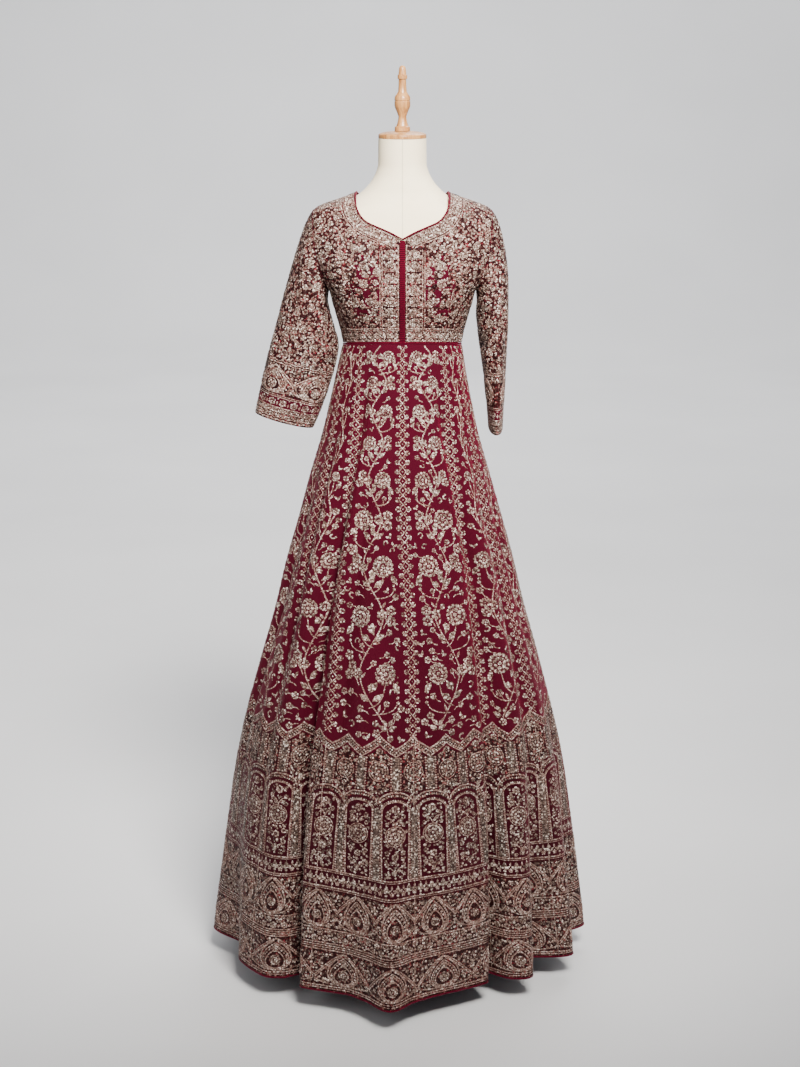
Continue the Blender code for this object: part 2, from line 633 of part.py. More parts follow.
# ----------------------------------------------------------- the dress form
form = curves(FORM, FORM_COLUMNS)
around = np.linspace(0, 2 * math.pi, 33)[:-1]
verts, faces = [], []
form_heights = column(FORM, FORM_COLUMNS, "height")
for h in form_heights:
    a, n = float(form["half"](h)), float(form["power"](h))
    for t in around:
        s, c = math.sin(t), math.cos(t)
        b = float(form["front"](h)) if c > 0 else float(form["back"](h))
        verts.append((a * math.copysign(abs(s) ** (2 / n), s),
                      -b * math.copysign(abs(c) ** (2 / n), c), h))
count = len(around)
for r in range(len(form_heights) - 1):
    for c in range(count):
        d = (c + 1) % count
        faces.append((r * count + c, r * count + d, (r + 1) * count + d, (r + 1) * count + c))
faces.append(tuple(range(count)))
faces.append(tuple(range((len(form_heights) - 1) * count, len(form_heights) * count)))
mesh_object("form_torso", verts, faces, CREAM)

cap_low = TORSO_TOP + 0.0003
profile = [(CAP_R * math.sin(t), cap_low + CAP_EDGE_H + (CAP_H - CAP_EDGE_H) * math.cos(t))
           for t in np.linspace(0, math.pi / 2, 7)]
profile[0] = (0.0, cap_low + CAP_H)
profile[1] = (profile[1][0] + 0.0045, cap_low + CAP_H)     # a small flat for the finial
profile += [(CAP_R, cap_low + 0.0006), (CAP_R - 0.0006, cap_low), (0.0, cap_low)]
turned("form_cap", profile, WOOD, steps=32)

profile = [(r / 1000, FINIAL_BASE + h / 1000) for h, r in FINIAL] + [(0.0, FINIAL_BASE)]
turned("form_finial", profile, WOOD, steps=20)

bpy.ops.mesh.primitive_cylinder_add(vertices=24, radius=POLE_R,
                                    depth=TORSO_LOW - BASE_H - 0.0006,
                                    location=(0, 0, (TORSO_LOW + BASE_H) / 2))
pole = bpy.context.object
pole.name = pole.data.name = "form_pole"
finish(pole, STEEL)

bpy.ops.mesh.primitive_cylinder_add(vertices=48, radius=BASE_R, depth=BASE_H,
                                    location=(0, 0, BASE_H / 2))
base = bpy.context.object
base.name = base.data.name = "form_base"
bevel = base.modifiers.new("edge", "BEVEL")
bevel.width = 0.003
bevel.segments = 2
bevel.limit_method = "ANGLE"
finish(base, STEEL)
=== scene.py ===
"""The looks of an anarkali gown on a limbless dress form.

Metres, +Z up, the gown's front faces -Y and the wearer's right is -X.

Every piece of cloth is a thin shell over a fine grid of points, with soft
creases pressed into it.  The embroidery is real relief: cords, petals,
leaves and bands are drawn flat, in millimetres, on the piece that they are
sewn to, and are then laid on its grid.
"""

import math

import bpy
import numpy as np
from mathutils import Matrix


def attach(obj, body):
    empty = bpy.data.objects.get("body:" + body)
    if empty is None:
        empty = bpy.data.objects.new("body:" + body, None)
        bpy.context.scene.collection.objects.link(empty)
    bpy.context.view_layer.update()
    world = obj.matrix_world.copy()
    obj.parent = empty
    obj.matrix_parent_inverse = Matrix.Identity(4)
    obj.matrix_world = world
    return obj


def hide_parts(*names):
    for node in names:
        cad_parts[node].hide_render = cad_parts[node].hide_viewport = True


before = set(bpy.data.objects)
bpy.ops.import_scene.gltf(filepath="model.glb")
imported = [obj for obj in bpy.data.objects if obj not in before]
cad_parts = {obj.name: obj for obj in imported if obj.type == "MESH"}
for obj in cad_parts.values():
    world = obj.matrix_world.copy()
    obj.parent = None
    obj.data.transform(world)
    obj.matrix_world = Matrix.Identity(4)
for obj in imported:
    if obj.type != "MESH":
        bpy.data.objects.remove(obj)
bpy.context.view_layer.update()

# ---------------------------------------------------------------- sizes (m)
CLOTH = 0.0015          # wall of the embroidered cloth
SEAM = 0.00034          # gap between two pieces that are sewn together
PIPING_R = 0.0015       # corded piping at the neck and the waist
HEM_PIPING_R = 0.0018
WAIST_H = 1.188         # height of the waist seam at the sides
WAIST_TILT = 0.16       # the seam rises towards the front
HEM_H = 0.050           # the hem hangs clear of the floor
ARMPIT_H = 1.285
PLACKET_HALF = 0.0050
PLACKET_PROUD = 0.0006
KALIS = 12
KALI_COLUMNS = 8
KALI_ROWS = 12
FRONT_COLUMNS = 8       # from the centre to the side seam
BACK_COLUMNS = 10
BACK_NECK_COLUMNS = 6   # of those, the ones that end at the neckline
LOW_ROWS = 4            # waist to armpit
HIGH_ROWS = 10          # armpit to shoulder
SEAM_DRIFT = math.radians(4.0)   # the centre front seam wanders this far

BASE_R, BASE_H = 0.150, 0.014
POLE_R = 0.0125
TORSO_LOW, TORSO_TOP = 0.860, 1.553
CAP_R, CAP_EDGE_H, CAP_H = 0.0425, 0.0055, 0.0125
FINIAL_BASE = TORSO_TOP + 0.0003 + CAP_H + 0.0003

# --------------------------------------------------------------- the tables
# the skirt's envelope: the radii of the oval at each height
SKIRT_COLUMNS = ("height", "right", "left", "front", "back")
SKIRT = (
    (1.188, 0.1070, 0.1070, 0.0920, 0.0800),
    (1.150, 0.1160, 0.1130, 0.1000, 0.0890),
    (1.110, 0.1265, 0.1215, 0.1100, 0.0990),
    (1.030, 0.1455, 0.1380, 0.1320, 0.1220),
    (0.950, 0.1685, 0.1600, 0.1570, 0.1460),
    (0.870, 0.1895, 0.1810, 0.1800, 0.1690),
    (0.790, 0.2120, 0.2030, 0.2030, 0.1930),
    (0.700, 0.2340, 0.2250, 0.2260, 0.2160),
    (0.600, 0.2630, 0.2540, 0.2520, 0.2430),
    (0.500, 0.2910, 0.2810, 0.2800, 0.2710),
    (0.400, 0.3135, 0.3040, 0.3040, 0.2960),
    (0.300, 0.3295, 0.3200, 0.3240, 0.3170),
    (0.200, 0.3435, 0.3340, 0.3410, 0.3340),
    (0.100, 0.3590, 0.3480, 0.3550, 0.3480),
    (0.050, 0.3650, 0.3540, 0.3615, 0.3550),
)
# the folds at the hem: azimuth from the centre front (+ to the wearer's
# left), how far the cloth lies inside the envelope there, as a share of its
# radius, and the height at which the fold begins
FOLD_COLUMNS = ("azimuth", "inset", "start")
FOLDS = (
    (-90.0, 0.000, 0.62),
    (-75.5, 0.135, 0.50),
    (-63.0, 0.070, 0.62),
    (-50.0, 0.078, 0.80),
    (-44.5, 0.140, 0.93),
    (-39.8, 0.300, 0.97),
    (-35.6, 0.118, 0.93),
    (-28.0, 0.138, 0.80),
    (-19.7, 0.150, 0.62),
    (-12.0, 0.106, 0.56),
    (-3.5, 0.004, 0.60),
    (3.6, 0.106, 0.56),
    (11.2, 0.160, 0.60),
    (19.0, 0.184, 0.68),
    (27.0, 0.192, 0.80),
    (32.8, 0.196, 0.90),
    (36.8, 0.335, 0.95),
    (41.0, 0.160, 0.90),
    (47.0, 0.092, 0.70),
    (57.5, 0.255, 0.78),
    (69.0, 0.030, 0.62),
    (80.5, 0.190, 0.66),
    (92.0, 0.000, 0.60),
    (104.5, 0.225, 0.80),
    (118.0, 0.016, 0.62),
    (131.0, 0.265, 0.88),
    (146.0, 0.022, 0.60),
    (160.0, 0.215, 0.74),
    (171.5, 0.018, 0.58),
    (184.5, 0.185, 0.66),
    (197.0, 0.000, 0.60),
    (211.0, 0.275, 0.90),
    (225.0, 0.024, 0.60),
    (239.0, 0.215, 0.76),
    (251.0, 0.012, 0.58),
    (261.5, 0.130, 0.55),
)
# the width of each kali at the waist seam and at the hem, from the centre
# front round the wearer's left
KALI_COLUMNS_NAMES = ("at_waist", "at_hem")
KALI_WIDTHS = (
    (0.078, 0.248), (0.036, 0.246), (0.040, 0.246),
    (0.040, 0.246), (0.038, 0.246), (0.074, 0.248),
    (0.074, 0.248), (0.038, 0.246), (0.040, 0.246),
    (0.040, 0.246), (0.036, 0.246), (0.078, 0.248),
)
# the bodice: half width, depth in front and behind, and the exponent of the
# superellipse.  Above 1.285 the half width runs on into the sleeve.
BODY_COLUMNS = ("height", "half", "front", "back", "power")
BODY = (
    (1.188, 0.1070, 0.0920, 0.0800, 2.00),
    (1.210, 0.1110, 0.0955, 0.0820, 2.10),
    (1.235, 0.1175, 0.1015, 0.0845, 2.25),
    (1.260, 0.1245, 0.1075, 0.0870, 2.35),
    (1.285, 0.1310, 0.1105, 0.0895, 2.40),
    (1.300, 0.1420, 0.1105, 0.0910, 2.40),
    (1.318, 0.1550, 0.1085, 0.0925, 2.40),
    (1.336, 0.1650, 0.1055, 0.0935, 2.40),
    (1.357, 0.1720, 0.1005, 0.0930, 2.40),
    (1.385, 0.1740, 0.0925, 0.0905, 2.40),
    (1.400, 0.1715, 0.0875, 0.0880, 2.40),
    (1.412, 0.1680, 0.0830, 0.0845, 2.40),
    (1.420, 0.1635, 0.0795, 0.0815, 2.40),
    (1.428, 0.1580, 0.0760, 0.0780, 2.40),
    (1.435, 0.1460, 0.0725, 0.0745, 2.40),
    (1.442, 0.1270, 0.0685, 0.0705, 2.40),
    (1.448, 0.1085, 0.0650, 0.0670, 2.40),
    (1.459, 0.0820, 0.0585, 0.0605, 2.30),
    (1.468, 0.0600, 0.0530, 0.0550, 2.20),
)
OUTLINE_COLUMNS = ("half", "height")
SHOULDER = (        # the shoulder seam, neck to tip
    (0.0820, 1.4590), (0.1085, 1.4480), (0.1270, 1.4420),
    (0.1460, 1.4350), (0.1580, 1.4280))
ARMHOLE = (         # its front edge, seen from the front, tip to armpit
    (0.1580, 1.4280), (0.1585, 1.4120), (0.1570, 1.3900), (0.1530, 1.3570),
    (0.1475, 1.3360), (0.1410, 1.3180), (0.1350, 1.2990), (0.1310, 1.2850))
NECK_FRONT = (      # the line of the piping, the point of the V to the shoulder
    (0.0000, 1.3850), (0.0085, 1.3895), (0.0234, 1.3975), (0.0452, 1.4065),
    (0.0640, 1.4150), (0.0765, 1.4290), (0.0815, 1.4430), (0.0820, 1.4590))
NECK_BACK = (
    (0.0000, 1.4290), (0.0250, 1.4300), (0.0470, 1.4340),
    (0.0670, 1.4420), (0.0780, 1.4510), (0.0820, 1.4590))
# the rings of a sleeve: the outer and the inner point of each, seen from the
# front, and its half depth
RING_COLUMNS = ("outer_x", "outer_z", "inner_x", "inner_z", "half_depth")
SLEEVE_RIGHT = (    # spread outwards, flat towards the front
    (0.1690, 1.4110, 0.1345, 1.2660, 0.0565),
    (0.1785, 1.3880, 0.1300, 1.2420, 0.0580),
    (0.1930, 1.3450, 0.1220, 1.2140, 0.0580),
    (0.2110, 1.2840, 0.1150, 1.1850, 0.0565),
    (0.2300, 1.2150, 0.1215, 1.1480, 0.0540),
    (0.2455, 1.1600, 0.1320, 1.1130, 0.0500),
    (0.2570, 1.1110, 0.1455, 1.0740, 0.0440),
    (0.2680, 1.0620, 0.1625, 1.0340, 0.0375),
)
SLEEVE_LEFT = (     # hangs straight down, flat towards the body
    (0.1690, 1.4110, 0.1345, 1.2660, 0.0565),
    (0.1770, 1.3870, 0.1330, 1.2450, 0.0590),
    (0.1850, 1.3500, 0.1345, 1.2250, 0.0610),
    (0.1900, 1.3000, 0.1370, 1.2030, 0.0630),
    (0.1905, 1.2400, 0.1415, 1.1720, 0.0650),
    (0.1885, 1.1750, 0.1475, 1.1330, 0.0665),
    (0.1850, 1.1050, 0.1535, 1.0820, 0.0675),
    (0.1820, 1.0330, 0.1580, 1.0310, 0.0685),
)
# the dress form, inside the gown and above it
FORM_COLUMNS = ("height", "half", "front", "back", "power")
FORM = (
    (0.860, 0.1220, 0.0880, 0.0960, 2.10),
    (0.868, 0.1270, 0.0920, 0.1000, 2.10),
    (0.910, 0.1300, 0.0950, 0.1030, 2.10),
    (0.970, 0.1240, 0.0920, 0.0980, 2.10),
    (1.050, 0.1080, 0.0850, 0.0820, 2.10),
    (1.120, 0.0970, 0.0810, 0.0710, 2.05),
    (1.190, 0.1005, 0.0830, 0.0735, 2.05),
    (1.230, 0.1105, 0.0905, 0.0785, 2.20),
    (1.270, 0.1205, 0.1005, 0.0830, 2.30),
    (1.300, 0.1285, 0.1050, 0.0855, 2.40),
    (1.335, 0.1400, 0.1000, 0.0880, 2.60),
    (1.370, 0.1460, 0.0915, 0.0870, 2.70),
    (1.400, 0.1460, 0.0820, 0.0825, 2.60),
    (1.418, 0.1455, 0.0745, 0.0765, 2.50),
    (1.429, 0.1420, 0.0695, 0.0715, 2.40),
    (1.435, 0.1240, 0.0655, 0.0675, 2.40),
    (1.441, 0.1030, 0.0615, 0.0635, 2.40),
    (1.4505, 0.0840, 0.0555, 0.0575, 2.30),
    (1.4615, 0.0700, 0.0510, 0.0530, 2.20),
    (1.476, 0.0565, 0.0480, 0.0500, 2.10),
    (1.492, 0.0475, 0.0445, 0.0455, 2.00),
    (1.508, 0.0430, 0.0427, 0.0428, 2.00),
    (1.553, 0.0425, 0.0425, 0.0425, 2.00),
)
# the turned finial: height above its foot, and radius, in millimetres
FINIAL_COLUMNS = ("rise", "radius")
FINIAL = (
    (112.6, 0.0), (111.6, 3.2), (109.6, 5.1), (106.0, 6.0), (96.8, 6.9),
    (95.6, 8.5), (89.6, 8.5), (88.2, 6.6), (77.2, 6.9), (67.5, 7.6),
    (63.0, 10.4), (59.6, 13.0), (57.6, 13.8), (52.6, 13.9), (51.4, 13.1),
    (50.2, 13.9), (42.8, 13.9), (39.3, 13.0), (32.4, 10.0), (24.5, 6.9),
    (20.3, 7.3), (13.4, 8.8), (8.3, 10.6), (6.6, 13.4), (0.0, 13.6),
)


# ------------------------------------------------------------------ helpers
def column(rows, names, name):
    return np.array([row[names.index(name)] for row in rows], dtype=float)


def smooth(xs, ys, period=None):
    """A curve through the table's points that never overshoots them."""
    xs, ys = np.asarray(xs, float), np.asarray(ys, float)
    if xs[0] > xs[-1]:
        xs, ys = xs[::-1], ys[::-1]
    if period:
        xs = np.concatenate([xs[-3:] - period, xs, xs[:3] + period])
        ys = np.concatenate([ys[-3:], ys, ys[:3]])
    h = np.diff(xs)
    d = np.diff(ys) / h
    m = np.zeros_like(xs)
    m[0], m[-1] = d[0], d[-1]
    for i in range(1, len(xs) - 1):
        if d[i - 1] * d[i] > 0:
            w1, w2 = 2 * h[i] + h[i - 1], h[i] + 2 * h[i - 1]
            m[i] = (w1 + w2) / (w1 / d[i - 1] + w2 / d[i])

    def at(x):
        x = np.asarray(x, float)
        if period:
            x = xs[3] + np.mod(x - xs[3], period)
        x = np.clip(x, xs[0], xs[-1])
        i = np.clip(np.searchsorted(xs, x, side="right") - 1, 0, len(h) - 1)
        t = (x - xs[i]) / h[i]
        return ((1 + 2 * t) * (1 - t) ** 2 * ys[i] + t * (1 - t) ** 2 * h[i] * m[i]
                + t * t * (3 - 2 * t) * ys[i + 1] + t * t * (t - 1) * h[i] * m[i + 1])
    return at


def curves(rows, names):
    key = column(rows, names, names[0])
    return {n: smooth(key, column(rows, names, n)) for n in names[1:]}


def along(points, shares):
    """Points at the given shares of a polyline's length, on a smooth curve."""
    points = np.asarray(points, float)
    run = np.concatenate([[0], np.cumsum(np.linalg.norm(np.diff(points, axis=0), axis=1))])
    run = run / run[-1]
    return np.stack([smooth(run, points[:, k])(shares) for k in range(points.shape[1])], axis=1)


def unit(v):
    return v / np.maximum(np.linalg.norm(v, axis=-1, keepdims=True), 1e-12)


# ---------------------------------------------------------------- the skirt
skirt = curves(SKIRT, SKIRT_COLUMNS)
fold_inset = smooth(column(FOLDS, FOLD_COLUMNS, "azimuth"), column(FOLDS, FOLD_COLUMNS, "inset"), 360.0)
fold_start = smooth(column(FOLDS, FOLD_COLUMNS, "azimuth"), column(FOLDS, FOLD_COLUMNS, "start"), 360.0)


def envelope(az, h):
    s, c = np.sin(az), np.cos(az)
    a = np.where(s < 0, skirt["right"](h), skirt["left"](h))
    b = np.where(c > 0, skirt["front"](h), skirt["back"](h))
    return 1.0 / np.sqrt((s / a) ** 2 + (c / b) ** 2)


def skirt_point(az, v):
    """v runs down the skirt from the waist seam, 0, to the hem, 1."""
    az, v = np.broadcast_arrays(np.asarray(az, float), np.asarray(v, float))
    h = WAIST_H * (1 - v) + HEM_H * v
    start = fold_start(np.degrees(az))
    grow = np.clip((start - h) / (start - HEM_H), 0, 1) ** 1.3
    r = envelope(az, h) * (1 - grow * fold_inset(np.degrees(az)))
    waist_y = -envelope(az, WAIST_H) * np.cos(az)
    z = h - WAIST_TILT * waist_y * (1 - v)
    return np.stack([r * np.sin(az), -r * np.cos(az), z], axis=-1)


def skirt_normal(az, v):
    e = 1e-4
    v0, v1 = np.clip(v - e, 0, 1), np.clip(v + e, 0, 1)
    across = skirt_point(az + e, v) - skirt_point(az - e, v)
    down = skirt_point(az, v1) - skirt_point(az, v0)
    return unit(np.cross(down, across))


def row_azimuths(v, shares):
    """Azimuths at shares of the skirt's girth, counted from the front seam."""
    az = np.linspace(0, 2 * math.pi, 1801)
    p = skirt_point(az, np.full_like(az, v))
    run = np.concatenate([[0], np.cumsum(np.linalg.norm(np.diff(p, axis=0), axis=1))])
    run = run / run[-1]
    h = WAIST_H * (1 - v) + HEM_H * v
    k = min(max((1.0 - h) / 0.40, 0.0), 1.0)
    first = np.interp(SEAM_DRIFT * k * k * (3 - 2 * k), az, run)
    s = np.asarray(shares, float) + first
    turns = np.floor(s)
    return np.interp(s - turns, run, az) + 2 * math.pi * turns


def seam_shares(v):
    top = column(KALI_WIDTHS, KALI_COLUMNS_NAMES, "at_waist")
    low = column(KALI_WIDTHS, KALI_COLUMNS_NAMES, "at_hem")
    w = top * (1 - v) + low * v
    return np.concatenate([[0], np.cumsum(w)]) / w.sum()


# --------------------------------------------------------------- the bodice
body = curves(BODY, BODY_COLUMNS)


def body_depth(x, z, side):
    a, b, n = body["half"](z), body[side](z), body["power"](z)
    q = np.clip(1 - np.clip(np.abs(x) / a, 0, 1) ** n, 0, 1)
    return b * q ** (1 / n)


def pushed_out(points, distance):
    """An outline moved outwards, away from the neck opening."""
    p = np.asarray(points, float)
    t = unit(np.gradient(p, axis=0))
    t[0] = unit(p[1] - p[0])
    out = np.stack([t[:, 1], -t[:, 0]], axis=1)
    return p + distance * out


CLIMB = 0.5 - 0.5 * np.cos(np.linspace(0, math.pi, HIGH_ROWS + 1))


def bodice_half(side):
    """Rows from the waist to the shoulder, columns from the centre out."""
    front = side == "front"
    sign = -1.0 if front else 1.0
    inner_x = PLACKET_HALF + SEAM if front else 0.0
    columns = FRONT_COLUMNS if front else BACK_COLUMNS
    share = np.linspace(0, 1, columns + 1) ** 0.92
    rows = []
    for h in np.linspace(WAIST_H, ARMPIT_H, LOW_ROWS + 1):
        a, b, n = float(body["half"](h)), float(body[side](h)), float(body["power"](h))
        t0 = math.asin((inner_x / a) ** (n / 2)) / (math.pi / 2)
        t = (t0 + (1 - t0) * share) * math.pi / 2
        x = a * np.sin(t) ** (2 / n)
        y = sign * b * np.clip(np.cos(t), 0, 1) ** (2 / n)
        y[-1] = 0.0
        fade = 1 - (h - WAIST_H) / (ARMPIT_H - WAIST_H)
        z = h - WAIST_TILT * y * fade
        rows.append(np.stack([x, y, z + (PIPING_R + SEAM) * fade], axis=1))
    low = rows[-1]
    neck = pushed_out(NECK_FRONT if front else NECK_BACK, PIPING_R + 0.0006)
    neck[:, 0] = np.maximum(neck[:, 0], inner_x)
    neck[0, 0] = inner_x
    shoulder = np.array(SHOULDER)
    line = smooth(shoulder[:, 0], shoulder[:, 1])
    neck[-1] = shoulder[0] = (0.0846, float(line(0.0846)))
    right = along(np.array(ARMHOLE)[::-1], CLIMB)
    if front:       # the centre front and the neckline are one edge
        left = along(np.vstack([[inner_x, ARMPIT_H], neck]), CLIMB)
        top = along(shoulder, share)
        at_neck = np.zeros(columns + 1, bool)
    else:           # the neckline and the shoulder are one edge
        left = along([[0.0, ARMPIT_H], neck[0]], CLIMB)
        k = BACK_NECK_COLUMNS
        low_part = 1 - (1 - np.linspace(0, 1, k + 1)) ** 1.35
        top = np.vstack([along(neck, low_part)[:-1], along(shoulder, np.linspace(0, 1, columns - k + 1))])
        at_neck = np.arange(columns + 1) < k
    bottom = low[:, [0, 2]]
    for k in range(1, HIGH_ROWS + 1):
        v = CLIMB[k]
        s = share[:, None]
        p = ((1 - v) * bottom + v * top + (1 - s) * left[k] + s * right[k]
             - (1 - s) * (1 - v) * bottom[0] - s * (1 - v) * bottom[-1]
             - (1 - s) * v * top[0] - s * v * top[-1])
        y = sign * body_depth(p[:, 0], p[:, 1], side)
        if k == HIGH_ROWS:
            y = np.where(at_neck, y, 0.0)
        rows.append(np.stack([p[:, 0], y, p[:, 1]], axis=1))
    return np.array(rows)


def shared_normals(grids, closed=False):
    """Vertex normals over several grids whose edges coincide."""
    total = {}

    def key(p):
        return tuple(np.round(p * 20000).astype(int))
    for g in grids:
        rows, cols = g.shape[:2]
        for r in range(rows - 1):
            for c in range(cols if closed else cols - 1):
                q = [g[r, c], g[r, (c + 1) % cols], g[r + 1, (c + 1) % cols], g[r + 1, c]]
                n = np.cross(q[2] - q[0], q[3] - q[1])
                for p in q:
                    total[key(p)] = total.get(key(p), 0) + n
    return [unit(np.array([[total[key(p)] for p in row] for row in g])) for g in grids]


# ------------------------------------------------------------------ materials
def new_material(name):
    m = bpy.data.materials.new(name)
    m.use_nodes = True
    m.node_tree.nodes.clear()
    return m, m.node_tree.nodes, m.node_tree.links


def node(nodes, kind, **values):
    n = nodes.new(kind)
    for key, value in values.items():
        setattr(n, key, value)
    return n


def ramp(nodes, stops):
    n = nodes.new("ShaderNodeValToRGB")
    e = n.color_ramp.elements
    while len(e) < len(stops):
        e.new(0.5)
    for k, (place, color) in enumerate(stops):
        e[k].position = place
        e[k].color = (*color, 1.0)
    return n


def shader_of(nodes, links, color_from, **fixed):
    s = node(nodes, "ShaderNodeBsdfPrincipled")
    for key, value in fixed.items():
        s.inputs[key.replace("_", " ")].default_value = value
    out = node(nodes, "ShaderNodeOutputMaterial")
    links.new(s.outputs[0], out.inputs[0])
    if color_from is not None:
        links.new(color_from, s.inputs["Base Color"])
    return s


def bumped(nodes, links, shader, height, distance, strength=1.0, normal=None):
    b = node(nodes, "ShaderNodeBump")
    b.inputs["Distance"].default_value = distance
    b.inputs["Strength"].default_value = strength
    links.new(height, b.inputs["Height"])
    if normal is not None:
        links.new(normal, b.inputs["Normal"])
    links.new(b.outputs[0], shader.inputs["Normal"])
    return b.outputs[0]


def zari_material(name, dark, mid, light, painted_glint, cell, metallic, between, gaps=(0.42, 0.78), shine=0.3):
    """Close metal-thread stitches: cells of each its own tone, dark between, the brightest of them painted glints."""
    m, nodes, links = new_material(name)
    where = node(nodes, "ShaderNodeTexCoord").outputs["Object"]
    cells = node(nodes, "ShaderNodeTexVoronoi", feature="F1")
    cells.inputs["Scale"].default_value = cell
    cells.inputs["Randomness"].default_value = 1.0
    links.new(where, cells.inputs["Vector"])
    split = node(nodes, "ShaderNodeSeparateColor")
    links.new(cells.outputs["Color"], split.inputs[0])
    # the brightest few cells take the last, lightest tone: painted glints of the metal threads
    tone = ramp(nodes, ((0.0, dark), (0.30, mid), (0.74, light), (0.93, painted_glint)))
    links.new(split.outputs[0], tone.inputs[0])
    # the gap between one stitch and the next
    gap = ramp(nodes, ((gaps[0], (1, 1, 1)), (gaps[1], between)))
    links.new(cells.outputs["Distance"], gap.inputs[0])
    mix = node(nodes, "ShaderNodeMix", data_type="RGBA", blend_type="MULTIPLY")
    mix.inputs[0].default_value = 1.0
    links.new(tone.outputs[0], mix.inputs[6])
    links.new(gap.outputs[0], mix.inputs[7])
    broad = node(nodes, "ShaderNodeTexNoise")
    broad.inputs["Scale"].default_value = 26.0
    broad.inputs["Detail"].default_value = 2.0
    links.new(where, broad.inputs["Vector"])
    warm = ramp(nodes, ((0.36, (1.04, 0.97, 0.93)), (0.64, (0.96, 0.99, 0.97))))
    links.new(broad.outputs[0], warm.inputs[0])
    tint = node(nodes, "ShaderNodeMix", data_type="RGBA", blend_type="MULTIPLY")
    tint.inputs[0].default_value = 1.0
    links.new(mix.outputs[2], tint.inputs[6])
    links.new(warm.outputs[0], tint.inputs[7])
    s = shader_of(nodes, links, tint.outputs[2], Metallic=metallic)
    s.inputs["Specular IOR Level"].default_value = shine
    rough = node(nodes, "ShaderNodeMapRange")
    rough.inputs["To Min"].default_value = 0.42
    rough.inputs["To Max"].default_value = 0.72
    links.new(split.outputs[1], rough.inputs["Value"])
    links.new(rough.outputs[0], s.inputs["Roughness"])
    hill = node(nodes, "ShaderNodeMath", operation="MULTIPLY")
    hill.inputs[1].default_value = -1.0
    links.new(cells.outputs["Distance"], hill.inputs[0])
    bumped(nodes, links, s, hill.outputs[0], 0.0022, 0.9)
    return m


def maroon_material(name, low, high, weave=1450.0, bump=0.00022, ribs=0.0):
    """Matt satin: a fine plain weave, faint streaks, soft sheen."""
    m, nodes, links = new_material(name)
    where = node(nodes, "ShaderNodeTexCoord").outputs["Object"]
    cloud = node(nodes, "ShaderNodeTexNoise")
    cloud.inputs["Scale"].default_value = 9.0
    cloud.inputs["Detail"].default_value = 4.0
    links.new(where, cloud.inputs["Vector"])
    tone = ramp(nodes, ((0.30, low), (0.72, high)))
    links.new(cloud.outputs[0], tone.inputs[0])
    colour = tone.outputs[0]
    if ribs:
        # bands at the pitch of the placket's ribs, dark in the hollows and lighter on the crests: painted shade and
        # painted light
        bands = node(nodes, "ShaderNodeTexWave", wave_type="BANDS", bands_direction="Z")
        bands.inputs["Scale"].default_value = 1.0 / ribs / 20.0 * 6.2832
        links.new(where, bands.inputs["Vector"])
        shade = ramp(nodes, ((0.18, (0.22, 0.22, 0.22)), (0.62, (1.15, 1.15, 1.15))))
        links.new(bands.outputs[1], shade.inputs[0])
        darker = node(nodes, "ShaderNodeMix", data_type="RGBA", blend_type="MULTIPLY")
        darker.inputs[0].default_value = 1.0
        links.new(colour, darker.inputs[6])
        links.new(shade.outputs[0], darker.inputs[7])
        colour = darker.outputs[2]
    s = shader_of(nodes, links, colour)
    s.inputs["Roughness"].default_value = 0.58
    s.inputs["Sheen Weight"].default_value = 0.16
    s.inputs["Sheen Roughness"].default_value = 0.45
    s.inputs["Sheen Tint"].default_value = (0.95, 0.05, 0.16, 1.0)
    s.inputs["Specular IOR Level"].default_value = 0.22
    s.inputs["Specular Tint"].default_value = (1.0, 0.22, 0.34, 1.0)
    threads = []
    for direction in ("X", "Z"):
        w = node(nodes, "ShaderNodeTexWave", wave_type="BANDS", bands_direction=direction)
        w.inputs["Scale"].default_value = weave / 20.0 * 6.2832
        w.inputs["Distortion"].default_value = 0.6
        links.new(where, w.inputs["Vector"])
        threads.append(w)
    both = node(nodes, "ShaderNodeMath", operation="ADD")
    links.new(threads[0].outputs[1], both.inputs[0])
    links.new(threads[1].outputs[1], both.inputs[1])
    bumped(nodes, links, s, both.outputs[0], bump, 0.7)
    return m


SILVER = zari_material("zari_silver", (0.075, 0.042, 0.033), (0.245, 0.178, 0.145),
                       (0.44, 0.345, 0.290), (0.94, 0.84, 0.76), 330.0, 0.26, (0.20, 0.080, 0.080))
ROSE = zari_material("zari_rose", (0.17, 0.098, 0.080), (0.28, 0.190, 0.158),
                     (0.41, 0.300, 0.255), (0.86, 0.75, 0.68), 420.0, 0.24, (0.36, 0.17, 0.16))
GROUND = zari_material("zari_ground", (0.036, 0.016, 0.014), (0.108, 0.070, 0.057),
                       (0.225, 0.163, 0.135), (0.80, 0.70, 0.62), 360.0, 0.26, (0.15, 0.050, 0.050))
DENSE = zari_material("zari_dense", (0.011, 0.0010, 0.0020), (0.020, 0.0030, 0.0042),
                      (0.038, 0.012, 0.011), (0.26, 0.185, 0.150), 300.0, 0.04, (0.75, 0.10, 0.20), (0.44, 0.60), 0.12)
MAROON_CLOTH = maroon_material("maroon_satin", (0.034, 0.0008, 0.0055), (0.047, 0.0011, 0.0077))
# a darker maroon for the cloth between the arches: painted shade of the raised close work round it
MAROON_PAINTED_SHADE = maroon_material("maroon_painted_shade_between_arches", (0.014, 0.0006, 0.0022), (0.021, 0.0009, 0.0033))
MAROON_EDGE = maroon_material("maroon_piping_satin", (0.058, 0.0010, 0.0080), (0.082, 0.0016, 0.0112), 2200.0)
MAROON_RIBS = maroon_material("maroon_ribbed_satin", (0.066, 0.0010, 0.0084), (0.092, 0.0016, 0.0118), 2200.0, ribs=0.0035)


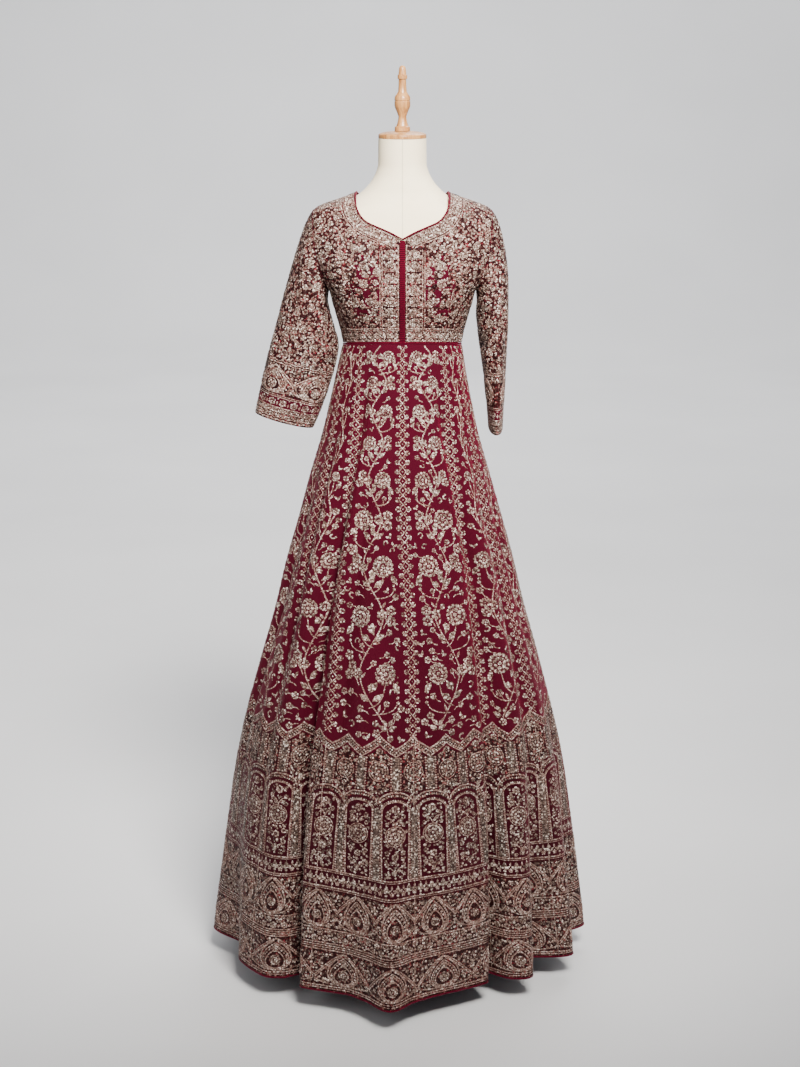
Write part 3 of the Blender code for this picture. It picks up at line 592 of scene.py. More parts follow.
def jersey_material():
    m, nodes, links = new_material("cream_jersey")
    where = node(nodes, "ShaderNodeTexCoord").outputs["Object"]
    cloud = node(nodes, "ShaderNodeTexNoise")
    cloud.inputs["Scale"].default_value = 14.0
    cloud.inputs["Detail"].default_value = 3.0
    links.new(where, cloud.inputs["Vector"])
    tone = ramp(nodes, ((0.30, (0.93, 0.79, 0.54)), (0.72, (0.97, 0.85, 0.61))))
    links.new(cloud.outputs[0], tone.inputs[0])
    # the centre front and back seam: a thin shaded line
    parts = node(nodes, "ShaderNodeSeparateXYZ")
    links.new(where, parts.inputs[0])
    off = node(nodes, "ShaderNodeMath", operation="ABSOLUTE")
    links.new(parts.outputs[0], off.inputs[0])
    line = node(nodes, "ShaderNodeMapRange")
    line.inputs["From Min"].default_value = 0.0003
    line.inputs["From Max"].default_value = 0.0014
    line.inputs["To Min"].default_value = 0.70
    line.inputs["To Max"].default_value = 1.0
    links.new(off.outputs[0], line.inputs["Value"])
    shade = node(nodes, "ShaderNodeVectorMath", operation="SCALE")
    links.new(tone.outputs[0], shade.inputs[0])
    links.new(line.outputs[0], shade.inputs["Scale"])
    s = shader_of(nodes, links, shade.outputs[0])
    s.inputs["Roughness"].default_value = 0.82
    s.inputs["Sheen Weight"].default_value = 0.15
    knit = node(nodes, "ShaderNodeTexVoronoi", feature="F1")
    knit.inputs["Scale"].default_value = 900.0
    links.new(where, knit.inputs["Vector"])
    height = node(nodes, "ShaderNodeMath", operation="MULTIPLY_ADD")
    height.inputs[1].default_value = 0.25
    links.new(knit.outputs["Distance"], height.inputs[0])
    links.new(line.outputs[0], height.inputs[2])
    bumped(nodes, links, s, height.outputs[0], 0.0006, 0.8)
    return m


def wood_material():
    m, nodes, links = new_material("light_turned_wood")
    where = node(nodes, "ShaderNodeTexCoord").outputs["Object"]
    long_way = node(nodes, "ShaderNodeMapping")
    long_way.inputs["Scale"].default_value = (60.0, 60.0, 9.0)
    links.new(where, long_way.inputs["Vector"])
    grain = node(nodes, "ShaderNodeTexNoise")
    grain.inputs["Scale"].default_value = 3.0
    grain.inputs["Detail"].default_value = 8.0
    grain.inputs["Distortion"].default_value = 1.2
    links.new(long_way.outputs[0], grain.inputs["Vector"])
    tone = ramp(nodes, ((0.28, (0.24, 0.085, 0.020)), (0.50, (0.44, 0.200, 0.060)), (0.76, (0.58, 0.310, 0.110))))
    links.new(grain.outputs[0], tone.inputs[0])
    s = shader_of(nodes, links, tone.outputs[0])
    s.inputs["Coat Weight"].default_value = 0.35
    s.inputs["Coat Roughness"].default_value = 0.22
    rough = node(nodes, "ShaderNodeMapRange")
    rough.inputs["To Min"].default_value = 0.34
    rough.inputs["To Max"].default_value = 0.52
    links.new(grain.outputs[0], rough.inputs["Value"])
    links.new(rough.outputs[0], s.inputs["Roughness"])
    bumped(nodes, links, s, grain.outputs[0], 0.0004, 0.5)
    return m


def steel_material():
    m, nodes, links = new_material("dark_painted_steel")
    where = node(nodes, "ShaderNodeTexCoord").outputs["Object"]
    fleck = node(nodes, "ShaderNodeTexNoise")
    fleck.inputs["Scale"].default_value = 420.0
    fleck.inputs["Detail"].default_value = 3.0
    links.new(where, fleck.inputs["Vector"])
    tone = ramp(nodes, ((0.30, (0.032, 0.032, 0.034)), (0.70, (0.060, 0.060, 0.064))))
    links.new(fleck.outputs[0], tone.inputs[0])
    s = shader_of(nodes, links, tone.outputs[0])
    s.inputs["Metallic"].default_value = 0.2
    rough = node(nodes, "ShaderNodeMapRange")
    rough.inputs["To Min"].default_value = 0.36
    rough.inputs["To Max"].default_value = 0.55
    links.new(fleck.outputs[0], rough.inputs["Value"])
    links.new(rough.outputs[0], s.inputs["Roughness"])
    bumped(nodes, links, s, fleck.outputs[0], 0.00012, 0.6)
    return m


JERSEY, LIGHT_WOOD, STEEL_PAINT = jersey_material(), wood_material(), steel_material()


# --------------------------------------------------------- grids and charts
class Grid:
    """Points and outward normals in rows (downwards) and columns."""

    def __init__(self, points, closed=False, outward=None):
        self.closed = closed
        g = points
        across = np.roll(g, -1, 1) - np.roll(g, 1, 1) if closed else np.gradient(g, axis=1)
        n = unit(np.cross(np.gradient(g, axis=0), across))
        if outward is not None and ((g - outward) * n).sum() < 0:
            n = -n
        self.points, self.normals = g, n

    def read(self, table, r, c):
        rows, cols = table.shape[:2]
        r = np.clip(r, 0, rows - 1.00001)
        i = r.astype(int)
        a = r - i
        if self.closed:
            c = np.mod(c, cols)
            j = np.minimum(c.astype(int), cols - 1)
            b, j2 = c - j, (j + 1) % cols
        else:
            c = np.clip(c, 0, cols - 1.00001)
            j = c.astype(int)
            b, j2 = c - j, j + 1
        if table.ndim == 3:
            a, b = a[:, None], b[:, None]
        return ((1 - a) * ((1 - b) * table[i, j] + b * table[i, j2])
                + a * ((1 - b) * table[i + 1, j] + b * table[i + 1, j2]))

    def cell(self, u, v):
        return v, u

    def lay(self, u, v, lift, base=None):
        r, c = self.cell(np.asarray(u, float), np.asarray(v, float))
        base = base or self.base()
        n = unit(base.read(base.normals, r, c))
        return base.read(base.points, r, c) + n * (np.asarray(lift) / 1000)[:, None], n

    def base(self):
        return self

    def frames(self, r, c):
        """Millimetres per row and per column, in each place's own level axes."""
        e = 0.25
        r = np.clip(np.asarray(r, float), 0, len(self.points) - 1)
        c = np.asarray(c, float)
        if not self.closed:
            c = np.clip(c, 0, self.points.shape[1] - 1)
        dr = (self.read(self.points, r + e, c) - self.read(self.points, r - e, c))
        dc = (self.read(self.points, r, c + e) - self.read(self.points, r, c - e))
        rows, cols = self.points.shape[:2]
        span_r = np.clip(r + e, 0, rows - 1.00001) - np.clip(r - e, 0, rows - 1.00001)
        span_c = 2 * e if self.closed else (np.clip(c + e, 0, cols - 1.00001)
                                            - np.clip(c - e, 0, cols - 1.00001))
        dr = 1000 * dr / np.maximum(span_r, 1e-3)[:, None]
        dc = 1000 * dc / (np.maximum(span_c, 1e-3)[:, None] if not self.closed else span_c)
        n = unit(self.read(self.normals, r, c))
        t1 = unit(dc)
        t2 = np.cross(n, t1)
        t2 = t2 * np.sign((t2 * dr).sum(1))[:, None]
        m = np.stack([np.stack([(dc * t1).sum(1), (dr * t1).sum(1)], 1),
                      np.stack([(dc * t2).sum(1), (dr * t2).sum(1)], 1)], 1)
        return np.linalg.inv(m), t1, t2        # (dx, dy) mm -> (columns, rows)

    def scale(self, u, v):
        return np.ones(len(u))


class Strip(Grid):
    """A band along a seam: u runs along it and v away from it, both in mm."""

    def __init__(self, grid, r, c, inward, width, step_u, step_v=2.0):
        self.closed, self.grid, self.step_u, self.step_v = False, grid, step_u, step_v
        r, c = np.array(r, float), np.array(c, float)
        rows_r, rows_c, way = [r], [c], inward
        for _ in range(int(width / step_v) + 1):
            inv, t1, t2 = grid.frames(rows_r[-1], rows_c[-1])
            flat = np.stack([(way * t1).sum(1), (way * t2).sum(1)], 1)
            flat = unit(flat) * step_v
            way = unit(t1 * flat[:, :1] + t2 * flat[:, 1:])
            move = np.einsum("nij,nj->ni", inv, flat)
            rows_c.append(rows_c[-1] + move[:, 0])
            rows_r.append(rows_r[-1] + move[:, 1])
        self.rows, self.columns = np.array(rows_r), np.array(rows_c)
        self.length = step_u * (len(r) - 1)

    def cell(self, u, v):
        a, b = v / self.step_v, u / self.step_u
        return self.read(self.rows, a, b), self.read(self.columns, a, b)

    def base(self):
        return self.grid


class Thread:
    """Embroidery drawn flat: where each point lies, its height, its faces."""

    def __init__(self, chart):
        self.chart = chart
        self.u, self.v, self.h, self.t, self.m, self.count = [], [], [], [], [], 0

    def add(self, u, v, h, tris, mat=0):
        self.u.append(np.ravel(u))
        self.v.append(np.ravel(v))
        self.h.append(np.ravel(h))
        tris = np.asarray(tris)
        self.t.append(tris + self.count)
        self.m.append(np.full(len(tris), mat) if np.isscalar(mat) else mat)
        self.count += self.u[-1].size

    def stamp(self, shape, u, v, angle=0.0, size=1.0, mat=0, lift=0.0, flip=1.0):
        """One flat shape laid at each of many places of the chart."""
        verts, tris = shape
        u, v, angle, size, flip = np.broadcast_arrays(
            np.atleast_1d(np.asarray(u, float)), v, angle, size, flip)
        x = verts[None, :, 0] * flip[:, None]
        y = verts[None, :, 1]
        c, s = np.cos(angle)[:, None], np.sin(angle)[:, None]
        dx, dy = (x * c - y * s) * size[:, None], (x * s + y * c) * size[:, None]
        h = np.where(verts[None, :, 2] > 0, verts[None, :, 2] * np.sqrt(size)[:, None] + lift, verts[None, :, 2])
        if type(self.chart) is Grid:
            inv = self.chart.frames(v, u)[0]
            du = inv[:, 0, 0, None] * dx + inv[:, 0, 1, None] * dy
            dv = inv[:, 1, 0, None] * dx + inv[:, 1, 1, None] * dy
            uu, vv = u[:, None] + du, v[:, None] + dv
        else:
            vv = v[:, None] + dy
            scale = self.chart.scale(np.broadcast_to(u[:, None], vv.shape).ravel(), vv.ravel())
            uu = u[:, None] + dx / scale.reshape(vv.shape)
        k = np.arange(len(u)) * len(verts)
        self.add(uu, vv, h, (tris[None] + k[:, None, None]).reshape(-1, 3), mat)

    def cord(self, u, v, width, rise, mat=1, closed=False, lift=0.0, taper=False):
        """A raised cord along a path of the chart; width and rise in mm."""
        u, v = np.asarray(u, float), np.asarray(v, float)
        width = np.broadcast_to(np.asarray(width, float), u.shape).copy()
        if taper:
            t = np.linspace(0, 1, len(u))
            width *= np.clip(np.minimum(t * 6 + 0.35, (1 - t) * 6 + 0.25), 0, 1)
        scale = self.chart.scale(u, v)
        if closed:
            du, dv = np.roll(u, -1) - np.roll(u, 1), np.roll(v, -1) - np.roll(v, 1)
            du = du - np.round(du) * (1.0 if isinstance(self.chart, Ring) else 0.0)
        else:
            du, dv = np.gradient(u), np.gradient(v)
        tx, ty = du * scale, dv
        size = np.maximum(np.hypot(tx, ty), 1e-9)
        nx, ny = -ty / size * width / 2, tx / size * width / 2
        low = np.full(len(u), SUNK)
        top = rise * np.clip(width / max(width.max(), 1e-9), 0.4, 1) + lift
        uu = np.stack([u - nx / scale, u, u + nx / scale], 1)
        vv = np.stack([v - ny, v, v + ny], 1)
        hh = np.stack([low, top, low], 1)
        n = len(u)
        i = np.arange(n if closed else n - 1)
        j = (i + 1) % n
        tris = []
        for k in (0, 1):
            tris.append(np.stack([3 * i + k, 3 * j + k, 3 * j + k + 1], 1))
            tris.append(np.stack([3 * i + k, 3 * j + k + 1, 3 * i + k + 1], 1))
        self.add(uu, vv, hh, np.vstack(tris), mat)

    def band(self, u_grid, v_grid, rise, mat=0):
        """A flat filled band over a grid of places, its rim sunk in."""
        rows, cols = u_grid.shape
        h = np.full((rows, cols), float(rise))
        h[:, 0] = h[:, -1] = SUNK
        i, j = np.meshgrid(np.arange(rows - 1), np.arange(cols - 1), indexing="ij")
        a = (i * cols + j).ravel()
        tris = np.vstack([np.stack([a, a + 1, a + cols + 1], 1), np.stack([a, a + cols + 1, a + cols], 1)])
        self.add(u_grid, v_grid, h, tris, mat)

    def gathered(self):
        return (np.concatenate(self.u), np.concatenate(self.v), np.concatenate(self.h),
                np.vstack(self.t), np.concatenate(self.m))


SUNK = -0.06


# ---------------------------------------------------- flat shapes, tip up, mm
def dome(outline, rise):
    outline = np.asarray(outline, float)
    n = len(outline)
    mid = outline.mean(axis=0)
    verts = np.vstack([[mid[0], mid[1], rise], np.column_stack([outline, np.full(n, SUNK)])])
    i = np.arange(n)
    return verts, np.stack([np.zeros(n, int), 1 + i, 1 + (i + 1) % n], 1)


def together(*shapes):
    verts, tris, k = [], [], 0
    for v, t in shapes:
        verts.append(v)
        tris.append(t + k)
        k += len(v)
    return np.vstack(verts), np.vstack(tris)


def placed(shape, dx=0.0, dy=0.0, angle=0.0, size=1.0):
    v, t = shape
    c, s = math.cos(angle), math.sin(angle)
    w = v.copy()
    w[:, 0] = (v[:, 0] * c - v[:, 1] * s) * size + dx
    w[:, 1] = (v[:, 0] * s + v[:, 1] * c) * size + dy
    return w, t


def leaf(length, width, rise=0.75):
    w, n = width / 2, length
    return dome([(0, 0), (-0.86 * w, -0.28 * n), (-w, -0.55 * n), (0, -n), (w, -0.55 * n), (0.86 * w, -0.28 * n)], rise)


def petal(length, width, rise=0.8):
    w, n = width / 2, length
    return dome([(0, 0), (-0.78 * w, -0.32 * n), (-w, -0.68 * n), (-0.5 * w, -n),
                 (0.5 * w, -n), (w, -0.68 * n), (0.78 * w, -0.32 * n)], rise)


def bead(radius, rise=0.8, sides=5):
    t = np.arange(sides) * 2 * math.pi / sides
    return dome(np.stack([radius * np.sin(t), -radius * np.cos(t)], 1), rise)


def ringed(n, inner, outer, width, rise, start=0.0, kind=petal):
    return [placed(kind(outer - inner, width, rise),
                   inner * math.sin(start + 2 * math.pi * k / n), -inner * math.cos(start + 2 * math.pi * k / n),
                   start + 2 * math.pi * k / n) for k in range(n)]


def flower(radius, petals=5, rise=0.95):
    width = 2 * math.pi * radius * 0.74 / petals * 0.98
    return together(bead(0.23 * radius, rise, 5), *ringed(petals, 0.27 * radius, radius, width, rise))


def floret(radius, petals=5, rise=0.8):
    t = np.arange(2 * petals) * math.pi / petals
    r = np.where(np.arange(2 * petals) % 2 == 0, radius, 0.68 * radius)
    return dome(np.stack([r * np.sin(t), -r * np.cos(t)], 1), rise)


def rosette(radius, outer=12, rise=1.15):
    w = 2 * math.pi * radius * 0.88 / outer * 1.0
    return together(
        bead(0.20 * radius, rise, 6),
        *ringed(7, 0.24 * radius, 0.60 * radius, 2 * math.pi * radius * 0.50 / 7 * 0.98, rise),
        *ringed(outer, 0.60 * radius, radius, w, rise * 0.85))


def line(points, width, rise, closed=False):
    p = np.asarray(points, float)
    if closed:
        t = unit(np.roll(p, -1, 0) - np.roll(p, 1, 0))
    else:
        t = unit(np.gradient(p, axis=0))
    n = np.stack([-t[:, 1], t[:, 0]], 1) * width / 2
    k = len(p)
    low = np.full(k, SUNK)
    v = np.stack([np.column_stack([p - n, low]), np.column_stack([p, np.full(k, float(rise))]),
                  np.column_stack([p + n, low])], 1).reshape(-1, 3)
    i = np.arange(k if closed else k - 1)
    j = (i + 1) % k
    t = [np.stack([3 * i + a, 3 * j + a, 3 * j + a + 1], 1) for a in (0, 1)]
    t += [np.stack([3 * i + a, 3 * j + a + 1, 3 * i + a + 1], 1) for a in (0, 1)]
    return v, np.vstack(t)


def drop_path(width, height, n=26, bend=0.0, sharp=0.9):
    """A teardrop, point up, its middle at the origin."""
    t = np.linspace(0, 2 * math.pi, n + 1)[:-1]
    x = 0.5 * width * np.sin(t) * np.sin(t / 2) ** sharp * 1.12
    y = -0.5 * height * np.cos(t)
    up = np.clip(-y / (0.5 * height), 0, 1)
    return np.stack([x + bend * up ** 2, y], 1)


def curl_path(radius, turn=4.2, n=12):
    t = np.linspace(0, turn, n)
    r = radius * (1 - 0.62 * t / turn)
    return np.stack([r * np.cos(t) - radius, -r * np.sin(t)], 1)


# ------------------------------------------------------------ making meshes
def build(name, verts, faces, mats, indices=None, smooth_angle=None):
    mesh = bpy.data.meshes.new(name)
    mesh.from_pydata(np.asarray(verts, float).tolist(), [], faces if isinstance(faces, list) else faces.tolist())
    for m in mats:
        mesh.materials.append(m)
    if indices is not None:
        mesh.polygons.foreach_set("material_index", np.asarray(indices, np.int32))
    mesh.polygons.foreach_set("use_smooth", np.ones(len(mesh.polygons), bool))
    if smooth_angle:
        mesh.set_sharp_from_angle(angle=math.radians(smooth_angle))
    mesh.update()
    obj = bpy.data.objects.new(name, mesh)
    bpy.context.scene.collection.objects.link(obj)
    return obj


def shell(name, outer, normals, mat, closed=False, thickness=0.0012, stitch_or_shade_faces=None):
    """A thin cloth shell, its outer face on the grid."""
    inner = outer - thickness * normals
    rows, cols = outer.shape[:2]
    spans = cols if closed else cols - 1
    r, c = np.meshgrid(np.arange(rows - 1), np.arange(spans), indexing="ij")
    r, c = r.ravel(), c.ravel()
    d = (c + 1) % cols
    a, b, e, f = r * cols + c, r * cols + d, (r + 1) * cols + d, (r + 1) * cols + c
    k = rows * cols
    faces = [np.stack([a, f, e, b], 1), np.stack([a, b, e, f], 1) + k]
    c = np.arange(spans)
    d = (c + 1) % cols
    faces.append(np.stack([c, d, k + d, k + c], 1))
    low = (rows - 1) * cols
    faces.append(np.stack([low + d, low + c, k + low + c, k + low + d], 1))
    if not closed:
        r = np.arange(rows - 1)
        a, f = r * cols, (r + 1) * cols
        faces.append(np.stack([f, a, k + a, k + f], 1))
        a, f = a + cols - 1, f + cols - 1
        faces.append(np.stack([a, f, k + f, k + a], 1))
    faces = np.vstack(faces)
    verts = np.vstack([outer.reshape(-1, 3), inner.reshape(-1, 3)])
    q = verts[faces[0]]
    if np.dot(np.cross(q[1] - q[0], q[2] - q[0]), normals[0, 0]) < 0:
        faces = faces[:, ::-1]
    indices = np.zeros(len(faces), int)
    if stitch_or_shade_faces is not None:      # the outer faces that are closely stitched all over (1), and those in the darker maroon, painted shade (2)
        indices[:(rows - 1) * spans] = stitch_or_shade_faces.ravel()
    mats = [mat, DENSE, MAROON_PAINTED_SHADE][:1 + int(indices.max())]
    return build(name, verts, faces, mats, indices, smooth_angle=50)


def sewn(name, threads, base=None):
    """One mesh of embroidery from threads, each with a choice of its points."""
    verts, faces, mats, count = [], [], [], 0
    for th, choice in threads:
        u, v, h, t, m = th.gathered()
        if choice is not None:
            pick = choice[t[:, 0]]
            t, m = t[pick], m[pick]
            if not len(t):
                continue
            used, t = np.unique(t, return_inverse=True)
            t = t.reshape(-1, 3)
            u, v, h = u[used], v[used], h[used]
        p, n = th.chart.lay(u, v, h, base)
        face_n = np.cross(p[t[:, 1]] - p[t[:, 0]], p[t[:, 2]] - p[t[:, 0]])
        size = np.linalg.norm(face_n, axis=1)
        good = size > 1e-10
        t, m, face_n = t[good], m[good], face_n[good]
        wrong = (face_n * n[t[:, 0]]).sum(1) < 0
        t[wrong] = t[wrong][:, ::-1]
        verts.append(p)
        faces.append(t + count)
        mats.append(m)
        count += len(p)
    return build(name, np.vstack(verts), np.vstack(faces), [SILVER, ROSE, GROUND, DENSE], np.concatenate(mats))


def note(obj):
    obj.data.calc_loop_triangles()
    return obj


# ------------------------------------------------- creases, in their own sizes
def pressed(grid, creases, places, lengths):
    """Soft troughs (depth over 0) and ridges along short lines of the cloth.

    places are the grid's points as (across, down) in mm, and each crease is
    a row of (across, down) at its start and end, half width and depth."""
    x, y = places
    total = np.zeros(x.shape)
    for x0, y0, x1, y1, half, depth in creases:
        dx, dy = x1 - x0, y1 - y0
        run = math.hypot(dx, dy)
        t = ((x - x0) * dx + (y - y0) * dy) / run ** 2
        bow = 0.10 * run * np.sin(np.clip(t, 0, 1) * math.pi)
        d = np.abs(((x - x0) * dy - (y - y0) * dx) / run - bow * (0.5 if depth > 0 else -0.35))
        ends = np.clip(t / 0.22, 0, 1) * np.clip((1 - t) / 0.22, 0, 1)
        ends = ends * ends * (3 - 2 * ends)
        total -= depth * ends * np.exp(-(d / half) ** 2)
    return grid.points + grid.normals * (total / 1000)[..., None]


# ===================================================================== skirt
SLANT = 1180.0          # the kali's length along the cloth, mm
FINE_ROWS, FINE_COLUMNS = 84, 28
CREASE_COLUMNS = ("azimuth_top", "azimuth_low", "top", "low", "half_width", "depth")
SKIRT_CREASES = (
    # the long valleys that run up from the large folds to the waist
    (-33, -40, 50, 500, 9, 8.5), (-39, -42, 240, 900, 11, 13.0), (-57, -61, 110, 760, 11, 9.0),
    (-74, -77, 180, 900, 12, 8.0), (-46, -52, 160, 760, 13, -5.0), (-28, -31, 140, 900, 12, -6.0),
    (34, 40, 70, 460, 9, 8.0), (40, 42, 220, 860, 11, 11.5), (58, 62, 140, 820, 11, 8.5),
    (73, 76, 200, 860, 12, 7.5), (46, 52, 180, 800, 13, -4.8), (29, 31, 160, 880, 12, -5.4),
    (108, 111, 120, 840, 11, 8.0), (143, 141, 90, 780, 11, 9.5), (171, 169, 150, 860, 11, 8.0),
    (199, 201, 100, 800, 11, 8.5), (229, 226, 140, 880, 12, 9.5), (256, 258, 110, 760, 11, 8.0),
    # troughs and ridges between the large folds, right round
    (-8, -7.5, 150, 900, 15, 3.9), (-15, -16, 230, 1010, 17, -3.3), (-24, -24, 120, 760, 13, 4.3),
    (-31, -31.5, 320, 1060, 12, -3.0), (-33, -44, 20, 330, 9, 4.8), (-52, -53, 150, 980, 16, -4.2),
    (-57, -58, 260, 1120, 11, 3.6), (-68, -69, 90, 860, 18, 3.9), (-82, -82, 240, 1080, 14, -3.6),
    (-88, -95, 30, 420, 10, 3.6),
    (7, 7.5, 170, 940, 14, 3.6), (15, 15, 260, 1050, 16, -3.4), (23, 24, 110, 700, 12, 4.2),
    (31, 42, 20, 300, 9, 4.5), (50, 51, 210, 1010, 17, -3.9), (64, 64, 130, 890, 13, 4.1),
    (76, 75, 300, 1100, 15, -3.3), (88, 94, 30, 380, 10, 3.8), (98, 98, 160, 940, 15, -3.6),
    (111, 111, 220, 1060, 13, 4.1), (125, 124, 90, 780, 16, -3.3), (139, 139, 260, 1110, 12, 3.8),
    (153, 153, 140, 900, 17, -3.9), (166, 167, 60, 640, 11, 3.9), (178, 178, 200, 1020, 15, -3.2),
    (191, 191, 110, 860, 13, 4.2), (204, 204, 250, 1090, 16, -3.6), (218, 218, 150, 930, 12, 3.8),
    (232, 233, 70, 700, 15, -3.3), (245, 245, 230, 1050, 13, 3.9), (257, 256, 120, 820, 16, -3.4),
)


class Ring(Grid):
    """The whole skirt: u is the share of the girth from the front seam."""

    def __init__(self):
        v = np.linspace(0, 1, FINE_ROWS + 1)
        v[0] = (PIPING_R + SEAM) / (WAIST_H - HEM_H)
        rows, azimuths, self.seams = [], [], []
        for level in v:
            bounds = seam_shares(level)
            shares = np.concatenate([bounds[k] + (bounds[k + 1] - bounds[k])
                                     * np.arange(FINE_COLUMNS) / FINE_COLUMNS for k in range(KALIS)])
            az = row_azimuths(level, shares)
            rows.append(skirt_point(az, level))
            azimuths.append(az)
            self.seams.append(bounds)
        self.seams = np.array(self.seams)
        super().__init__(np.array(rows), closed=True, outward=np.array([0.0, 0.0, 0.8]))
        az = np.degrees(np.array(azimuths))
        s = v[:, None] * SLANT * np.ones_like(az)
        radius = np.hypot(self.points[..., 0], self.points[..., 1]) * 1000
        total = np.zeros(az.shape)
        for a_top, a_low, top, low, half, depth in SKIRT_CREASES:
            t = (s - top) / (low - top)
            middle = a_top + (a_low - a_top) * np.clip(t, 0, 1) + 0.7 * np.sin(t * 5 + a_top)
            d = (az - middle + 180) % 360 - 180
            d = np.radians(d) * radius
            ends = np.clip(t / 0.25, 0, 1) * np.clip((1 - t) / 0.25, 0, 1)
            ends = ends * ends * (3 - 2 * ends)
            total -= depth * ends * np.exp(-(d / half) ** 2)
        total *= np.clip((s - 6) / 40, 0, 1)
        super().__init__(self.points + self.normals * (total / 1000)[..., None], closed=True,
                         outward=np.array([0.0, 0.0, 0.8]))
        p = np.concatenate([self.points, self.points[:, :1]], axis=1)
        self.girths = 1000 * np.linalg.norm(np.diff(p, axis=1), axis=2).sum(axis=1)

    def at_row(self, v):
        return np.clip(np.asarray(v, float) / SLANT, 0, 1) * FINE_ROWS

    def scale(self, u, v):
        return np.interp(self.at_row(v), np.arange(FINE_ROWS + 1), self.girths)

    def bounds(self, v):
        r = np.minimum(self.at_row(v), FINE_ROWS - 1e-5)
        i = r.astype(int)
        a = (r - i)[:, None]
        return (1 - a) * self.seams[i] + a * self.seams[i + 1]

    def cell(self, u, v):
        u = np.mod(u, 1.0)
        b = self.bounds(v)
        k = np.clip((u[:, None] >= b[:, 1:12]).sum(axis=1), 0, KALIS - 1)
        low = np.take_along_axis(b, k[:, None], 1)[:, 0]
        high = np.take_along_axis(b, k[:, None] + 1, 1)[:, 0]
        return self.at_row(v), (k + np.clip((u - low) / (high - low), 0, 0.99999)) * FINE_COLUMNS

    def kali(self, u, v):
        return (self.cell(u, v)[1] / FINE_COLUMNS).astype(int)

    def middle(self, k, v):
        b = self.bounds(np.atleast_1d(v))
        return (b[:, k] + b[:, k + 1]) / 2

    def width(self, k, v):
        b = self.bounds(np.atleast_1d(v))
        return (b[:, k + 1] - b[:, k]) * self.scale(None, np.atleast_1d(v))


ring = Ring()
skirt_work = Thread(ring)
random = np.random.default_rng(7)

# shapes used all over
FLOWER5, FLOWER6, FLOWER4 = flower(5.0, 5), flower(5.0, 6), flower(5.0, 4)
FLORET4, FLORET5, FLORET6 = floret(4.0, 4), floret(4.0, 5), floret(4.0, 6)
LEAF, SLIM_LEAF, BEAD = leaf(10.0, 4.6), leaf(10.0, 3.2), bead(1.0, 0.75)
ROSETTE = rosette(10.0)
ROSETTE_BIG = rosette(10.0, 14)
CURL = line(curl_path(4.2), 1.9, 0.7)


# the trellis on each seam, from the waist down to the arches
def trellis(seam):
    s, row = 6.0, 0
    while s < 684:
        grow = 0.62 + 0.38 * min(s / 240.0, 1.0)
        pitch = 15.2 + 1.6 * min(s / 400.0, 1.0)
        place = float(ring.bounds(np.array([s]))[0, seam % 12])
        wide = 9.6 * grow
        scale = float(ring.scale(None, np.array([s]))[0])
        for side in (-1, 1):
            skirt_work.stamp(FLOWER4, place + side * wide / scale, s, angle=math.pi / 4 * (row % 2) + 0.1 * side,
                             size=0.98 * grow)
            skirt_work.stamp(FLORET4, place + side * wide * 0.52 / scale, s + pitch / 2, size=0.52 * grow, mat=1)
        # crossing cords between one pair and the next
        for side in (-1, 1):
            t = np.linspace(-1, 1, 5)
            skirt_work.cord(place + side * t * wide * 0.72 / scale, s + pitch / 2 + t * pitch * 0.46, 1.9, 0.7)
        skirt_work.stamp(BEAD, place, s, size=1.7 * grow)
        s += pitch
        row += 1


for seam in range(KALIS):
    trellis(seam)


def saw(u, n):
    """0 at each peak, 1 at each notch."""
    return np.abs(((u * n) % 1.0) * 2 - 1)


ARCHES = 30
notch = lambda u: 1 - saw(u, ARCHES)              # 1 at u = j / 30 + 1 / 60
first = lambda u: 686 + 22 * (1 - saw(u, ARCHES)) ** 0.85      # the pointed skyline


